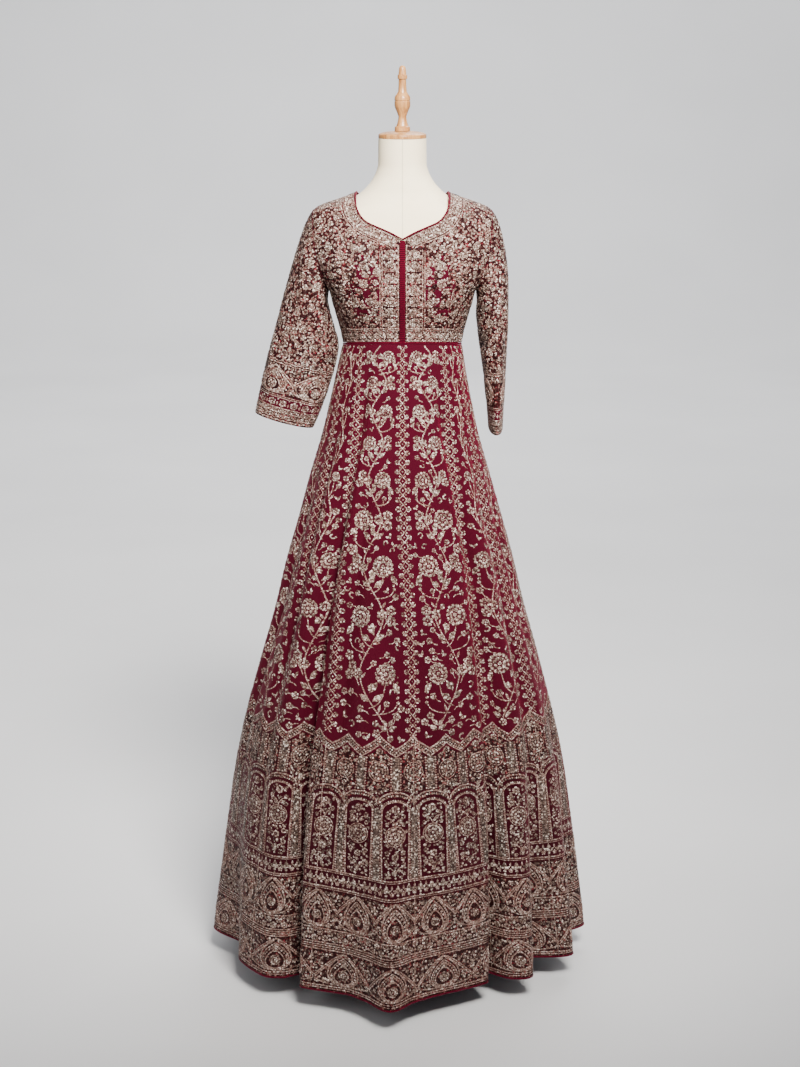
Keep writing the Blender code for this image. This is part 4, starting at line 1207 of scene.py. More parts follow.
# the climbing spray up the middle of each kali
def spray(k):
    flip = 1.0 if k < 6 else -1.0
    taken = []

    def x_to_u(x, s):
        s = np.atleast_1d(np.asarray(s, float))
        x = np.atleast_1d(np.asarray(x, float))
        return ring.middle(k, s) + flip * x / ring.scale(None, s)

    def half(s):
        return float(ring.width(k, s)[0]) / 2 - (7.0 + 12.0 * min(s / 200.0, 1.0))

    def put(shape, x, s, angle=0.0, size=1.0, mat=0, reach=None, lift=0.0):
        skirt_work.stamp(shape, x_to_u(x, s), s, angle * flip, size, mat, lift, flip)
        if reach:
            taken.append((x, s, reach))

    def stalk(points, width=2.1, rise=0.8):
        p = along(points, np.linspace(0, 1, 4 * len(points)))
        skirt_work.cord(x_to_u(p[:, 0], p[:, 1]), p[:, 1], width, rise, mat=1, taper=True)
        for q in p[::3]:
            taken.append((q[0], q[1], 1.6))

    # the stem: long bends that widen towards the hem
    bends, s, side = [], 24.0, 1.0
    while s < 668:
        amp = 0.40 * half(s)
        bends.append((side * amp, s))
        s += 42 + 0.12 * s
        side = -side
    bends.append((side * 0.55 * half(672.0), 676.0))
    path = np.array([(0.0, 3.0)] + bends)
    stem = along(path, np.linspace(0, 1, 110))
    skirt_work.cord(x_to_u(stem[:, 0], stem[:, 1]), stem[:, 1], 2.6, 0.9, mat=1)
    for q in stem[::2]:
        taken.append((q[0], q[1], 2.2))
    # small leaves up the stem
    step = unit(np.gradient(stem, axis=0))
    for i in range(4, len(stem) - 3, 5):
        sgn = 1 if (i // 5) % 2 else -1
        a = math.atan2(step[i, 0], -step[i, 1]) + math.pi + sgn * 0.85
        put(SLIM_LEAF, stem[i, 0] + sgn * 1.2, stem[i, 1], a, 0.80 + 0.0013 * stem[i, 1], mat=1)
        tip = 6 + 0.007 * stem[i, 1]
        taken.append((stem[i, 0] + tip * math.sin(a) * flip * flip, stem[i, 1] - tip * math.cos(a), 3.0))
    # a foot of leaves where the stem starts
    fx, fs = path[-1]
    for a, size in ((-0.55, 1.7), (0.60, 1.5), (-1.25, 1.9), (1.30, 1.7), (-1.9, 1.2), (1.95, 1.1)):
        put(LEAF, fx + 1.5 * math.sin(a), fs - 3 - 4 * (abs(a) < 1), a, size)
        taken.append((fx + 6 * size * math.sin(a), fs - 4 - 6 * size * math.cos(a), 3.4 * size))
    for n, (bx, bs) in enumerate(bends[:-1]):
        side = math.copysign(1.0, bx)
        h = half(bs)
        gap = 42 + 0.12 * bs
        big = min(max(0.40 * h + 2.6, 7.6), 19.5) * (0.74 + 0.26 * min(bs / 300.0, 1.0))
        # a rosette in the hollow of the bend
        rx, rs = -side * 0.46 * h, bs + 0.02 * gap
        put(ROSETTE_BIG if big > 11 else ROSETTE, rx, rs, 0.3 * n, big / 10, reach=big + 1.5)
        stalk([(bx * 0.15, bs + 0.56 * gap), (rx * 0.45, bs + 0.50 * gap), (rx * 0.85, bs + 0.36 * gap),
               (rx, rs + big * 0.95)])
        # leaves either side of the rosette's foot
        for a, f in ((2.3, 1.0), (-2.3, 0.9)):
            length = big / 10 * 1.36
            lx, ls = rx + math.sin(a) * big * 1.0, rs - math.cos(a) * big * 1.0
            put(LEAF, lx, ls, a + 0.25 * math.copysign(1, a), length * f, reach=3.5 * length)
        # a cluster of small flowers on the outer side of the bend
        r = min(0.40 * big + 1.9, 9.6)
        cx, cs = bx + side * 0.30 * h, bs - 0.10 * gap
        for m in range(5 if h > 26 else 3 if bs > 150 else 2):
            t = -0.5 + m * 1.15 + 0.25 * math.sin(3 * n)
            d = r * 1.9 if m else 0.0
            fx, fs = cx + side * d * math.sin(t), cs - d * math.cos(t)
            if abs(fx) < h - r * 0.4:
                put(FLOWER5 if m % 2 else FLOWER6, fx, fs, 0.5 * m, r / 5, reach=r + 0.6)
        stalk([(bx, bs + 0.22 * gap), (bx + side * 0.10 * h, bs + 0.12 * gap), (cx, cs + r)])
        # a chain of buds that dwindles upwards
        if h > 24:
            for m in range(6):
                t = m / 5.0
                put(BEAD, -side * (0.92 * h - 3 * math.sin(2.2 * t)), bs + gap * (0.46 - 0.40 * t), 0.0,
                    3.5 - 1.7 * t, reach=3.4)
            if bs + 0.66 * gap < 655:
                stalk([(-side * 0.10 * h, bs + 0.66 * gap), (-side * 0.52 * h, bs + 0.63 * gap),
                       (-side * 0.80 * h, bs + 0.56 * gap), (-side * 0.92 * h, bs + 0.46 * gap)])
        # a pair of veined leaves and a pointed bud at the crossing
        mx, ms = 0.0, bs + 0.50 * gap
        if h > 20:
            size = min(0.55 + 0.044 * h, 2.5)
            for a in (-0.95, 0.95):
                put(LEAF, mx + 3.4 * math.sin(a), ms - 5, a, size)
                put(SLIM_LEAF, mx + 3.4 * math.sin(a), ms - 5, a, size * 0.55, mat=1, lift=0.45)
                for f in (0.35, 0.8):
                    taken.append((mx + (3.4 + 10 * size * f) * math.sin(a), ms - 5 - 10 * size * f * math.cos(a),
                                  2.2 * size))
            put(FLORET5, mx, ms - 12 * size, 0.0, 0.8 * size, reach=3.4 * size)
    # what is left is filled with small outlined flowers, leaves and buds
    tries = 2600
    xs, ss = random.uniform(-1, 1, tries), random.uniform(14, 700, tries)
    kinds, turns = random.uniform(0, 1, tries), random.uniform(-1, 1, tries)
    for x, s, kind, turn in zip(xs, ss, kinds, turns):
        h = half(s) + 3
        x *= h
        if h < 6:
            continue
        r = min(3.7 + 0.0052 * s, 7.2) * (0.80 + 0.4 * kind)
        if abs(x) > (h - r * 0.7) * (0.60 + 0.40 * min(s / 330.0, 1.0)):
            continue
        if s > 660 and s + r + 4.0 > float(first(x_to_u(x, s))[0]):
            continue
        near = [(q, t) for q, t, reach in taken if abs(q - x) < reach + r + 1.4 and abs(t - s) < reach + r + 1.4
                and math.hypot(q - x, t - s) < reach + r + 1.1]
        if near:
            continue
        if kind < 0.52:
            put(FLOWER5, x, s, turn, r / 5, reach=r)
            # a short bent stalk towards the stem, lower down
            i = int(np.argmin(np.abs(stem[:, 1] - (s + 16 + r))))
            dx, ds = stem[i, 0] - x, stem[i, 1] - s
            reach = math.hypot(dx, ds)
            dx, ds = dx / reach, ds / reach
            far = min(reach, 2.1 * r + 5)
            stalk([(x + r * dx * 0.8, s + r * ds * 0.8), (x + dx * far * 0.6 - 1.6 * ds, s + ds * far * 0.6 + 1.6 * dx),
                   (x + dx * far, s + ds * far)], 1.8, 0.7)
        elif kind < 0.80:
            for a in (-0.7, 0.7):
                put(LEAF, x, s + r * 0.8, turn + a, r / 6.2, reach=None)
            put(BEAD, x, s + r * 0.9, 0, 1.7, mat=1)
            taken.append((x, s, r))
        else:
            put(CURL, x, s, 3 * turn, r / 5)
            put(BEAD, x, s, 0, 2.0)
            taken.append((x, s, r))


for k in range(KALIS):
    spray(k)


# ----------------------------------------------------------- the lower border
def ring_path(down, count):
    u = np.linspace(0, 1, count + 1)[:-1]
    return u, down(u)


def ring_cord(down, width, rise, count=360, mat=1):
    u, v = ring_path(down, count)
    skirt_work.cord(u, v, width, rise, mat, closed=True)


def ring_stamp(shape, n, start, v, **more):
    skirt_work.stamp(shape, (np.arange(n) + start) / n, v, **more)


def column_band(u, top, low, width, rise=0.75, mat=2):
    s = np.concatenate([[top], np.arange(math.ceil(top / 7.0) * 7.0 + 3.5, low - 3, 7.0), [low]])
    scale = ring.scale(None, s)
    across = np.array([-0.5, -0.42, -0.16, 0.16, 0.42, 0.5]) * width
    uu = u + across[None, :] / scale[:, None]
    vv = np.repeat(s[:, None], len(across), 1)
    skirt_work.band(uu, vv, rise, mat)


def second(u):
    """The round heads of the lower arches, which stand half a step aside."""
    t = 1 - saw(u + 0.5 / ARCHES, ARCHES)
    return 784 + 24 * (1 - np.sqrt(np.clip(1 - t ** 2, 0, 1)))


def border_field(inside, v0, v1, pitch, jitter=0.20):
    """Places of a jittered triangular lattice round the skirt."""
    us, vs = [], []
    rows = int((v1 - v0) / (pitch * 0.87)) + 1
    for r in range(rows):
        v = v0 + r * pitch * 0.87
        n = int(float(ring.scale(None, np.array([v]))[0]) / pitch)
        u = (np.arange(n) + 0.5 * (r % 2)) / n
        scale = float(ring.scale(None, np.array([v]))[0])
        us.append(u + random.normal(0, jitter * pitch, n) / scale)
        vs.append(v + random.normal(0, jitter * pitch, n))
    u, v = np.concatenate(us), np.concatenate(vs)
    keep = inside(u, v)
    return u[keep], v[keep]


def fill(u, v, size=1.0, share=(0.34, 0.64, 0.86), work=None):
    """Small flowers, leaves, curls and beads, mixed."""
    work = work or skirt_work
    kind = random.uniform(0, 1, len(u))
    turn = random.uniform(0, 2 * math.pi, len(u))
    grow = size * random.uniform(0.86, 1.12, len(u))
    for shape, low, high, scale, mat in (
            (FLORET5, -1, share[0], 1.06, 0), (LEAF, share[0], share[1], 0.90, 2),
            (FLORET4, share[1], share[2], 0.95, 2), (BEAD, share[2], 2, 2.7, 0)):
        pick = (kind >= low) & (kind < high)
        if shape is LEAF:
            c, s = np.sin(turn[pick]), np.cos(turn[pick])
            back = 0.0 if type(work.chart) is Grid else 4 * size
            work.stamp(shape, u[pick] - back * c / work.chart.scale(u[pick], v[pick]), v[pick] + back * s,
                       turn[pick], scale * grow[pick], mat)
        else:
            work.stamp(shape, u[pick], v[pick], turn[pick], scale * grow[pick], mat)


def across_mm(u, v, n, start):
    """Distance in mm from the nearest of n equal stations, signed."""
    t = (u * n - start + 0.5) % 1.0 - 0.5
    return t / n * ring.scale(None, v)


def stitched(top, low, n, u0=0.0, u1=1.0, steps=2, rise=0.16):
    """Close stitches between two lines round the skirt."""
    u = np.linspace(u0, u1, n + 1)
    share = np.linspace(0, 1, steps + 1)
    a, b = top(u), low(u)
    skirt_work.band(np.repeat(u[:, None], steps + 1, 1), a[:, None] + (b - a)[:, None] * share[None], rise, 3)


stitched(lambda u: first(u) + 0.8, lambda u: first(u) + 13.0, 720)
stitched(lambda u: second(u) + 0.8, lambda u: second(u) + 9.4, 720)
for j in range(ARCHES):
    stitched(lambda u: first(u) + 13.6, lambda u: np.minimum(second(u) - 1.0, 790.0), 14,
             (j - 0.325) / ARCHES, (j + 0.325) / ARCHES, 5)
# skyline: an outer cord, a broad beaded band, an inner cord
ring_cord(first, 3.0, 1.0, 720)
for shift, count in ((5.2, 480), (9.4, 450)):
    u, v = ring_path(lambda q: first(q) + shift, count)
    skirt_work.stamp(FLORET5 if shift < 6 else BEAD, u, v, size=0.62 if shift < 6 else 1.9, mat=0)
ring_cord(lambda u: first(u) + 13.2, 2.4, 0.9, 720)
# the upper columns under the notches, between two dark lines
for j in range(ARCHES):
    u = (j + 0.5) / ARCHES
    column_band(u, 722, 781, 13.5)
    s = np.arange(724, 785, 4.6)
    for side in (-1, 1):
        skirt_work.stamp(BEAD, u + side * 8.6 / ring.scale(None, s), s, size=2.0, mat=1)
centre = np.arange(ARCHES) / ARCHES
skirt_work.stamp(FLOWER6, centre, 713, size=1.30)
skirt_work.stamp(ROSETTE_BIG, centre, 748, size=1.52)
u = np.linspace(0, 2 * math.pi, 25)[:-1]
RING_LINE = line(np.stack([np.sin(u), -np.cos(u)], 1) * 17.4, 1.8, 0.85, True)
skirt_work.stamp(RING_LINE, centre, 748, mat=1)
for side in (-1, 1):
    scale = ring.scale(None, np.array([726.0]))[0]
    skirt_work.stamp(LEAF, centre + side * 4 / scale, 731, side * 1.25, 0.95)
    skirt_work.stamp(FLOWER5, centre + side * 13 / scale, 721.5, 0.0, 0.92)
    skirt_work.stamp(LEAF, centre + side * 4 / scale, 767, math.pi - side * 1.0, 1.0)
    skirt_work.stamp(FLOWER5, centre + side * 12 / scale, 778, 0.0, 0.95)
skirt_work.stamp(FLOWER6, centre, 774, size=1.05)


def in_first(u, v):
    x = np.abs(across_mm(u, v, ARCHES, 0.0))
    pitch = ring.scale(None, v) / ARCHES
    clear = np.hypot(x, v - 748) > 20.0
    for fx, fv, r in ((0, 713, 8), (0, 774, 7), (13, 721.5, 6), (12, 778, 6), (8, 728, 4.5)):
        clear &= np.hypot(x - fx, v - fv) > r
    return clear & (x < pitch / 2 - 13.2) & (v > first(u) + 16.5) & (v < second(u) - 3)


fill(*border_field(in_first, 700, 806, 7.0), size=0.96)
# the lower, round arches: two cords with a beaded band between
ring_cord(second, 2.8, 1.0, 720)
u, v = ring_path(lambda q: second(q) + 5.2, 480)
skirt_work.stamp(FLORET5, u, v, size=0.64)


def inner_arch(u0):
    """The cord round the panel inside an arch: up one side and down the other."""
    t = np.linspace(0, math.pi, 15)
    x = np.concatenate([[-1] * 14, -np.cos(t), [1] * 14])
    s = np.concatenate([np.linspace(941, 826, 14), 820 - 20 * np.sin(t), np.linspace(826, 941, 14)])
    return x, s


for j in range(ARCHES):
    u0 = (j + 0.5) / ARCHES
    for half, top, wide, rise in ((25.2, 0.0, 2.4, 0.95), (21.6, 3.4, 0.0, 0)):
        x, s = inner_arch(u0)
        s = np.where((s < 825), s + (0 if half > 25 else 4.0), s)
        if wide:
            skirt_work.cord(u0 + half * x / ring.scale(None, s), s, wide, rise, 1)
    # a beaded band between the cord and the arch's outer line
    t = np.linspace(-1.25, 1.25, 17)
    skirt_work.stamp(BEAD, u0 + 28.6 * np.sin(t) / ring.scale(None, 822 - 24 * np.cos(t)), 822 - 24 * np.cos(t),
                     size=2.1)
    # the solid column on the next seam of the arches
    u1 = (j + 1.0) / ARCHES
    column_band(u1, 815, 941, 13.0)
    s = np.arange(812, 942, 4.7)
    for side in (-1, 1):
        skirt_work.stamp(BEAD, u1 + side * 8.4 / ring.scale(None, s), s, size=2.0, mat=1)
centre = (np.arange(ARCHES) + 0.5) / ARCHES
skirt_work.stamp(FLOWER6, centre, 814, size=1.55)
skirt_work.stamp(ROSETTE_BIG, centre, 862, size=1.62)
skirt_work.stamp(RING_LINE, centre, 862, size=1.04, mat=1)
scale = float(ring.scale(None, np.array([862.0]))[0])
BRANCH = line(along([(0, 0), (3.5, -7), (10, -12), (15, -11)], np.linspace(0, 1, 9)), 1.9, 0.8)
for side in (-1.0, 1.0):
    skirt_work.stamp(BRANCH, centre, 842, flip=side, mat=1)
    skirt_work.stamp(FLOWER5, centre + side * 14.5 / scale, 826.5, size=0.92)
    skirt_work.stamp(LEAF, centre + side * 5 / scale, 834, side * 1.9, 0.72)
    skirt_work.stamp(FLOWER5, centre + side * 15.5 / scale, 841, size=0.78)
    skirt_work.stamp(LEAF, centre + side * 4 / scale, 882, math.pi - side * 0.9, 1.0)
    skirt_work.stamp(FLOWER5, centre + side * 14.0 / scale, 892, size=1.02)
    skirt_work.stamp(BRANCH, centre, 930, flip=side, mat=1)
    skirt_work.stamp(FLOWER5, centre + side * 14.5 / scale, 913, size=0.98)
    skirt_work.stamp(LEAF, centre + side * 6 / scale, 936, side * 1.35, 1.0)
    skirt_work.stamp(FLORET5, centre + side * 16.5 / scale, 930, size=1.0)
skirt_work.stamp(FLOWER6, centre, 899, size=1.35)
skirt_work.stamp(LEAF, centre, 934, 0.0, 1.5)


def in_second(u, v):
    x = np.abs(across_mm(u, v, ARCHES, 0.5))
    clear = np.hypot(x, v - 862) > 20.5
    for fx, fv, r in ((0, 814, 9), (14.5, 826.5, 6), (15.5, 841, 5.2), (14, 892, 6.5), (0, 899, 8),
                      (14.5, 913, 6.2), (16.5, 930, 5), (0, 926, 4.5), (9, 934, 4.5), (7, 886, 4.5)):
        clear &= np.hypot(x - fx, v - fv) > r
    return clear & (x < 20.6) & (v > 806) & (v < 938) & ((v > 822) | (x < 15))


fill(*border_field(in_second, 804, 940, 6.6), size=0.88)


def in_spandrel(u, v):
    x = np.abs(across_mm(u, v, ARCHES, 0.0))
    return (v > second(u) + 9) & (x < 10.5) & (v < 816) & (v > 800)


fill(*border_field(in_spandrel, 798, 818, 6.4), size=0.9)

# two lines, then a fringe of small upright flowers on a line
ring_cord(lambda u: 943.0 + 0 * u, 2.8, 1.2)
ring_cord(lambda u: 946.6 + 0 * u, 1.7, 0.8)
FLEUR = together(placed(leaf(13.5, 7.0, 1.0), 0, 6.0), placed(leaf(11.0, 5.6, 0.9), 0, 6.0, -0.95),
                 placed(leaf(11.0, 5.6, 0.9), 0, 6.0, 0.95), placed(bead(2.6, 1.0), 0, 8.6),
                 placed(bead(2.0, 0.9), 0, 13.6))
ring_stamp(FLEUR, 104, 0.5, 957.6, size=1.22)
ring_stamp(FLORET5, 104, 0.0, 966.8, size=1.35, mat=1)
ring_stamp(LEAF, 104, 0.0, 958.5, size=0.9, mat=1)
ring_cord(lambda u: 976.0 + 0 * u, 2.8, 1.2)
ring_cord(lambda u: 979.8 + 0 * u, 1.7, 0.8)


# the row of large drops, each in its double outline, under crossing lines
def drop_row(work, centre, pitch, top, low, wide, valley, turn):
    middle = (top + low) / 2
    tall = low - top
    scale_at = work.chart.scale
    for w, h, thick, rise in ((wide, tall * 0.92, 3.2, 1.5), (wide * 0.86, tall * 0.78, 2.2, 1.2),
                              (wide * 0.60, tall * 0.56, 2.6, 1.2)):
        shape = line(drop_path(w, h, 30), thick, rise, True)
        work.stamp(shape, centre, middle + (low - middle - h / 2 - 2.5) * 0.75, mat=1)
    work.stamp(ROSETTE_BIG, centre, middle + tall * 0.17, turn, wide * 0.0152)
    work.stamp(FLORET5, centre, middle - tall * 0.13, size=wide * 0.020)
    # the band between the inner and the outer outline
    rim = drop_path(wide * 0.735, tall * 0.685, max(int(wide * 0.38), 11))
    for x, y in rim:
        s = np.full(len(centre), middle + tall * 0.085 + y)
        work.stamp(FLORET4, centre + x / scale_at(centre, s), s, 0.4, 0.74, 1 if x > 0 else 0)
    # crossing double lines from the tips of two drops down to a low point
    t = np.linspace(0, 1, 12)
    for side in (-1.0, 1.0):
        for shift in (0.0, 4.8):
            x = side * (2.0 + (pitch / 2 - 2.0) * t ** 0.9)
            s = top + 3.0 + shift + (valley - top - 4.0) * t ** 1.15
            for c in centre:
                work.cord(c + x / scale_at(np.full(12, c), s), s, 2.7, 1.3)
    # a scalloped hem of arcs under the drops
    t = np.linspace(-1, 1, 13)
    for c in centre:
        s = low - 2.0 - (1 - np.sqrt(np.clip(1 - t ** 2 * 0.98, 0, 1))) * (low - valley) * 0.62
        x = t * pitch / 2
        work.cord(c + x / scale_at(np.full(13, c), s), s, 2.6, 1.3)


def ring_drops(n, start, top, low, wide, valley, turn):
    middle = (top + low) / 2
    drop_row(skirt_work, (np.arange(n) + start) / n, float(ring.scale(None, np.array([middle]))[0]) / n,
             top, low, wide, valley, turn)


def drop_masks(n, start, top, low, wide, valley, margin=3.6):
    tall, middle = low - top, (top + low) / 2
    outer = drop_path(wide + 2 * margin, tall * 0.92 + 2 * margin, 60)
    outer[:, 1] += middle + (low - middle - tall * 0.46 - 2.5) * 0.75
    top_edge, low_edge = outer[:, 1].min(), outer[:, 1].max()
    right = outer[(outer[:, 0] >= -1e-6)]
    order = np.argsort(right[:, 1])

    def inside(u, v):
        x = np.abs(across_mm(u, v, n, start))
        pitch = ring.scale(None, v) / n
        edge = np.interp(v, right[order][:, 1], right[order][:, 0], left=0, right=0)
        out = (x > edge) | (v < top_edge) | (v > low_edge)
        t = x / (pitch / 2)
        v_line = top + 3.0 + (valley - top - 4.0) * np.clip((x - 2) / (pitch / 2 - 2), 0, 1) ** (1.15 / 0.9)
        off = (np.abs(v - v_line - 2.4) > 6.4)
        return out & off & (v > top + 3.5) & (v < low - 3.5)
    return inside


ring_drops(30, 0.5, 981, 1057, 59.0, 1022, 0.2)
fill(*border_field(drop_masks(30, 0.5, 981, 1057, 59.0, 1022), 983, 1056, 6.6), size=0.92)

# line, two rows of small flowers, and the heavy bundle of lines
ring_cord(lambda u: 1058.6 + 0 * u, 3.0, 1.3)
ring_stamp(FLOWER5, 126, 0.0, 1066.2, size=1.34)
ring_stamp(BEAD, 126, 0.5, 1063.5, size=2.5, mat=1)
ring_stamp(FLOWER6, 126, 0.5, 1077.2, size=1.34)
ring_stamp(FLORET4, 126, 0.0, 1078.6, size=0.95, mat=1)
for s, w in ((1086.0, 2.8), (1090.6, 2.2), (1094.8, 2.2), (1099.2, 2.8)):
    ring_cord(lambda u: s + 0 * u, w, 0.95)

ring_drops(24, 0.54, 1101, 1169, 70.0, 1152, 0.5)
fill(*border_field(drop_masks(24, 0.54, 1101, 1169, 70.0, 1152), 1103, 1169, 6.8), size=0.92)
ring_cord(lambda u: 1171.2 + 0 * u, 2.8, 1.0)
ring_cord(lambda u: 1175.6 + 0 * u, 2.2, 0.85)
# the seams in the border: one thin line of stitching each
for seam in range(KALIS):
    s = np.arange(706, 1170, 7.0)
    skirt_work.cord(ring.bounds(s)[:, seam], s, 1.5, 1.0)

# -------------------------------------------------- the kalis and their work
u, v, h, t, m = skirt_work.gathered()
of_kali = ring.kali(u, v)
pieces = {}
form_stands = "form_torso"
for k in range(KALIS):
    cols = np.arange(k * FINE_COLUMNS, (k + 1) * FINE_COLUMNS + 1) % (KALIS * FINE_COLUMNS)
    g, n = ring.points[:, cols].copy(), ring.normals[:, cols].copy()
    side = unit(g[:, 1] - g[:, 0])
    g[:, 0] += side * SEAM / 2
    g[:, -1] -= unit(g[:, -1] - g[:, -2]) * SEAM / 2
    name = "kali_%02d" % (k + 1)
    down = SLANT * (np.arange(FINE_ROWS) + 0.5) / FINE_ROWS
    # below 981 mm the faces are closely stitched; from 716 to 981 mm the cloth takes the darker maroon, painted shade
    stitch_or_shade_faces = np.repeat(np.where(down > 981, 1, np.where(down > 716, 2, 0))[:, None], FINE_COLUMNS, 1)
    cloth = note(shell(name + "_cloth", g, n, MAROON_CLOTH, stitch_or_shade_faces=stitch_or_shade_faces))
    work = note(sewn(name + "_zari", [(skirt_work, of_kali == k)]))
    for piece, slot in ((cloth, "maroon_cloth"), (work, "zari_cloth")):
        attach(piece, "root")
    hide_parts(name)


# ============================================================ the bodice
LOW_ROWS, HIGH_ROWS, FRONT_COLUMNS, BACK_COLUMNS, BACK_NECK_COLUMNS = 14, 36, 34, 40, 24
CLIMB = 0.5 - 0.5 * np.cos(np.linspace(0, math.pi, HIGH_ROWS + 1))
MIRROR = np.array([-1.0, 1.0, 1.0])
MIDDLE = np.array([0.0, 0.0, 1.30])
front = bodice_half("front")[::-1]          # rows from the shoulder down
back = bodice_half("back")
back = np.concatenate([(back * MIRROR)[:, :0:-1], back], axis=1)[::-1]
BODICE_CREASES = {
    # across from the centre and up from the waist seam, mm: start, end,
    # half width, depth
    "right": ((104, 132, 92, 60, 6, 4.4), (112, 150, 100, 96, 5, -2.4), (60, 84, 104, 70, 9, 1.3),
              (30, 30, 78, 22, 8, 1.0), (92, 172, 116, 196, 6, 1.4), (52, 128, 96, 122, 10, -1.2)),
    "left": ((106, 128, 94, 54, 6, 4.0), (114, 154, 102, 100, 5, -2.2), (56, 78, 100, 66, 8, 1.2),
             (34, 26, 82, 20, 8, 0.9), (90, 168, 114, 194, 6, 1.3), (48, 120, 94, 116, 9, -1.1)),
    "back": ((-96, 40, -40, 20, 8, 1.5), (100, 44, 44, 18, 8, 1.5), (-60, 150, -112, 172, 9, 1.3),
             (62, 146, 114, 168, 9, 1.3), (-30, 90, 34, 84, 12, 0.9), (-104, 96, -70, 60, 7, -1.1),
             (108, 92, 72, 58, 7, -1.1)),
}


def panel_grid(points, which, mirrored=False):
    g = Grid(points, outward=MIDDLE)
    up = (points[..., 2] - points[-1:, :, 2]) * 1000
    across = points[..., 0] * 1000
    g = Grid(pressed(g, BODICE_CREASES[which], (np.abs(across) if which != "back" else across, up), None),
             outward=MIDDLE)
    return g


grid_left = panel_grid(front, "left")
right = panel_grid(front, "right")
grid_right = Grid(right.points * MIRROR, outward=MIDDLE)
grid_back = panel_grid(back, "back")


def nearest_row(grid, column, z):
    return float(np.argmin(np.abs(grid.points[:, column, 2] - z)))


def even_edge(grid, r, c, step):
    """The same edge with stations an even step apart, in mm."""
    r, c = np.asarray(r, float), np.asarray(c, float)
    p = grid.read(grid.points, r, c)
    run = np.concatenate([[0], np.cumsum(1000 * np.linalg.norm(np.diff(p, axis=0), axis=1))])
    n = max(int(round(run[-1] / step)), 2)
    at = np.linspace(0, run[-1], n + 1)
    return np.interp(at, run, r), np.interp(at, run, c), run[-1] / n


def inward_of(grid, r, c, towards):
    p = grid.read(grid.points, r, c)
    n = unit(grid.read(grid.normals, r, c))
    t = unit(np.gradient(p, axis=0))
    side = np.cross(n, t)
    sign = np.sign((side * (towards - p)).sum(1))
    return side * np.where(sign == 0, 1, sign)[:, None]


def strip_along(grid, r, c, width, towards, step=3.0):
    r, c, step = even_edge(grid, r, c, step)
    return Strip(grid, r, c, inward_of(grid, r, c, towards), width, step)


inner_x = PLACKET_HALF + SEAM
V_ROW = int(np.argmax(front[::-1, 0, 0] > inner_x + 0.0008))     # counted up from the waist
v_row = len(front) - 1 - V_ROW
rows_neck = np.arange(v_row + 1, -1, -1).astype(float)
neck_strip = strip_along(grid_left, rows_neck, np.zeros(len(rows_neck)), 32, np.array([0.11, -0.09, 1.33]))
rows_cf = np.arange(v_row + 1, len(front)).astype(float)
centre_strip = strip_along(grid_left, rows_cf, np.zeros(len(rows_cf)), 36, np.array([0.3, -0.1, 1.28]))
columns_all = np.arange(front.shape[1]).astype(float)
waist_strip = strip_along(grid_left, np.full(len(columns_all), float(len(front) - 1)), columns_all, 30,
                          np.array([0.0, 0.0, 1.5]))
columns_back = np.arange(back.shape[1]).astype(float)
back_waist = strip_along(grid_back, np.full(len(columns_back), float(len(back) - 1)), columns_back, 30,
                         np.array([0.0, 0.0, 1.5]))
neck_cols = np.arange(BACK_COLUMNS - BACK_NECK_COLUMNS, BACK_COLUMNS + BACK_NECK_COLUMNS + 1).astype(float)
back_neck = strip_along(grid_back, np.zeros(len(neck_cols)), neck_cols, 30, np.array([0.0, 0.09, 1.20]))


def band_floor(work, u0, u1, v0, v1, n_u, width=None, rise=0.42):
    """A low ground of close stitches under a band."""
    u = np.linspace(u0, u1, n_u)
    low = np.full(n_u, v0) if np.isscalar(v0) else v0
    high = np.full(n_u, v1) if np.isscalar(v1) else v1
    share = np.array([0.0, 0.12, 0.5, 0.88, 1.0])
    work.band(np.repeat(u[:, None], 5, 1), low[:, None] + (high - low)[:, None] * share[None], rise, 2)


def straight(work, u0, u1, v, width, rise=0.95, mat=1, step=5.0, wave=None):
    n = max(int(abs(u1 - u0) / step), 2) + 1
    u = np.linspace(u0, u1, n)
    vv = np.full(n, float(v)) if wave is None else v + wave(u)
    work.cord(u, vv, width, rise, mat)


def neck_work(chart, wide0, wide1):
    """wide0 at u = 0 and wide1 at its far end."""
    w = Thread(chart)
    length = chart.length
    wide = lambda u: wide0 + (wide1 - wide0) * u / length
    u = np.arange(6.0, length - 3, 12.6)
    w.stamp(FLOWER6, u, 3.0 + wide(u) * 0.34, size=1.18)
    w.stamp(FLOWER5, u + 6.3, 2.2 + wide(u) * 0.62, size=0.96)
    for v in (2.2,):
        straight(w, 0, length, v, 2.2)
    for shift, thick, mat in ((0.0, 2.3, 1), (-3.9, 1.7, 1), (-2.0, 2.0, 3)):
        n = int(length / 4)
        uu = np.linspace(0, length, n)
        w.cord(uu, wide(uu) + shift, thick, 0.95 if mat == 1 else 1.0, mat=mat)
    u = np.arange(2.0, length, 4.9)
    w.stamp(LEAF, u, 8.0 + 0 * u, np.where(np.arange(len(u)) % 2, 0.8, -0.8), 0.55, mat=1)
    w.stamp(BEAD, u, wide(u) - 7.5, size=2.0)
    w.stamp(FLORET4, u + 2.4, 5.2, size=0.55, mat=1)
    w.stamp(FLORET4, u + 2.4, wide(u) * 0.50, 0.6, size=0.62)
    return w


neck_thread = neck_work(neck_strip, 21.0, 27.0)
back_neck_thread = neck_work(back_neck, 26.0, 26.0)


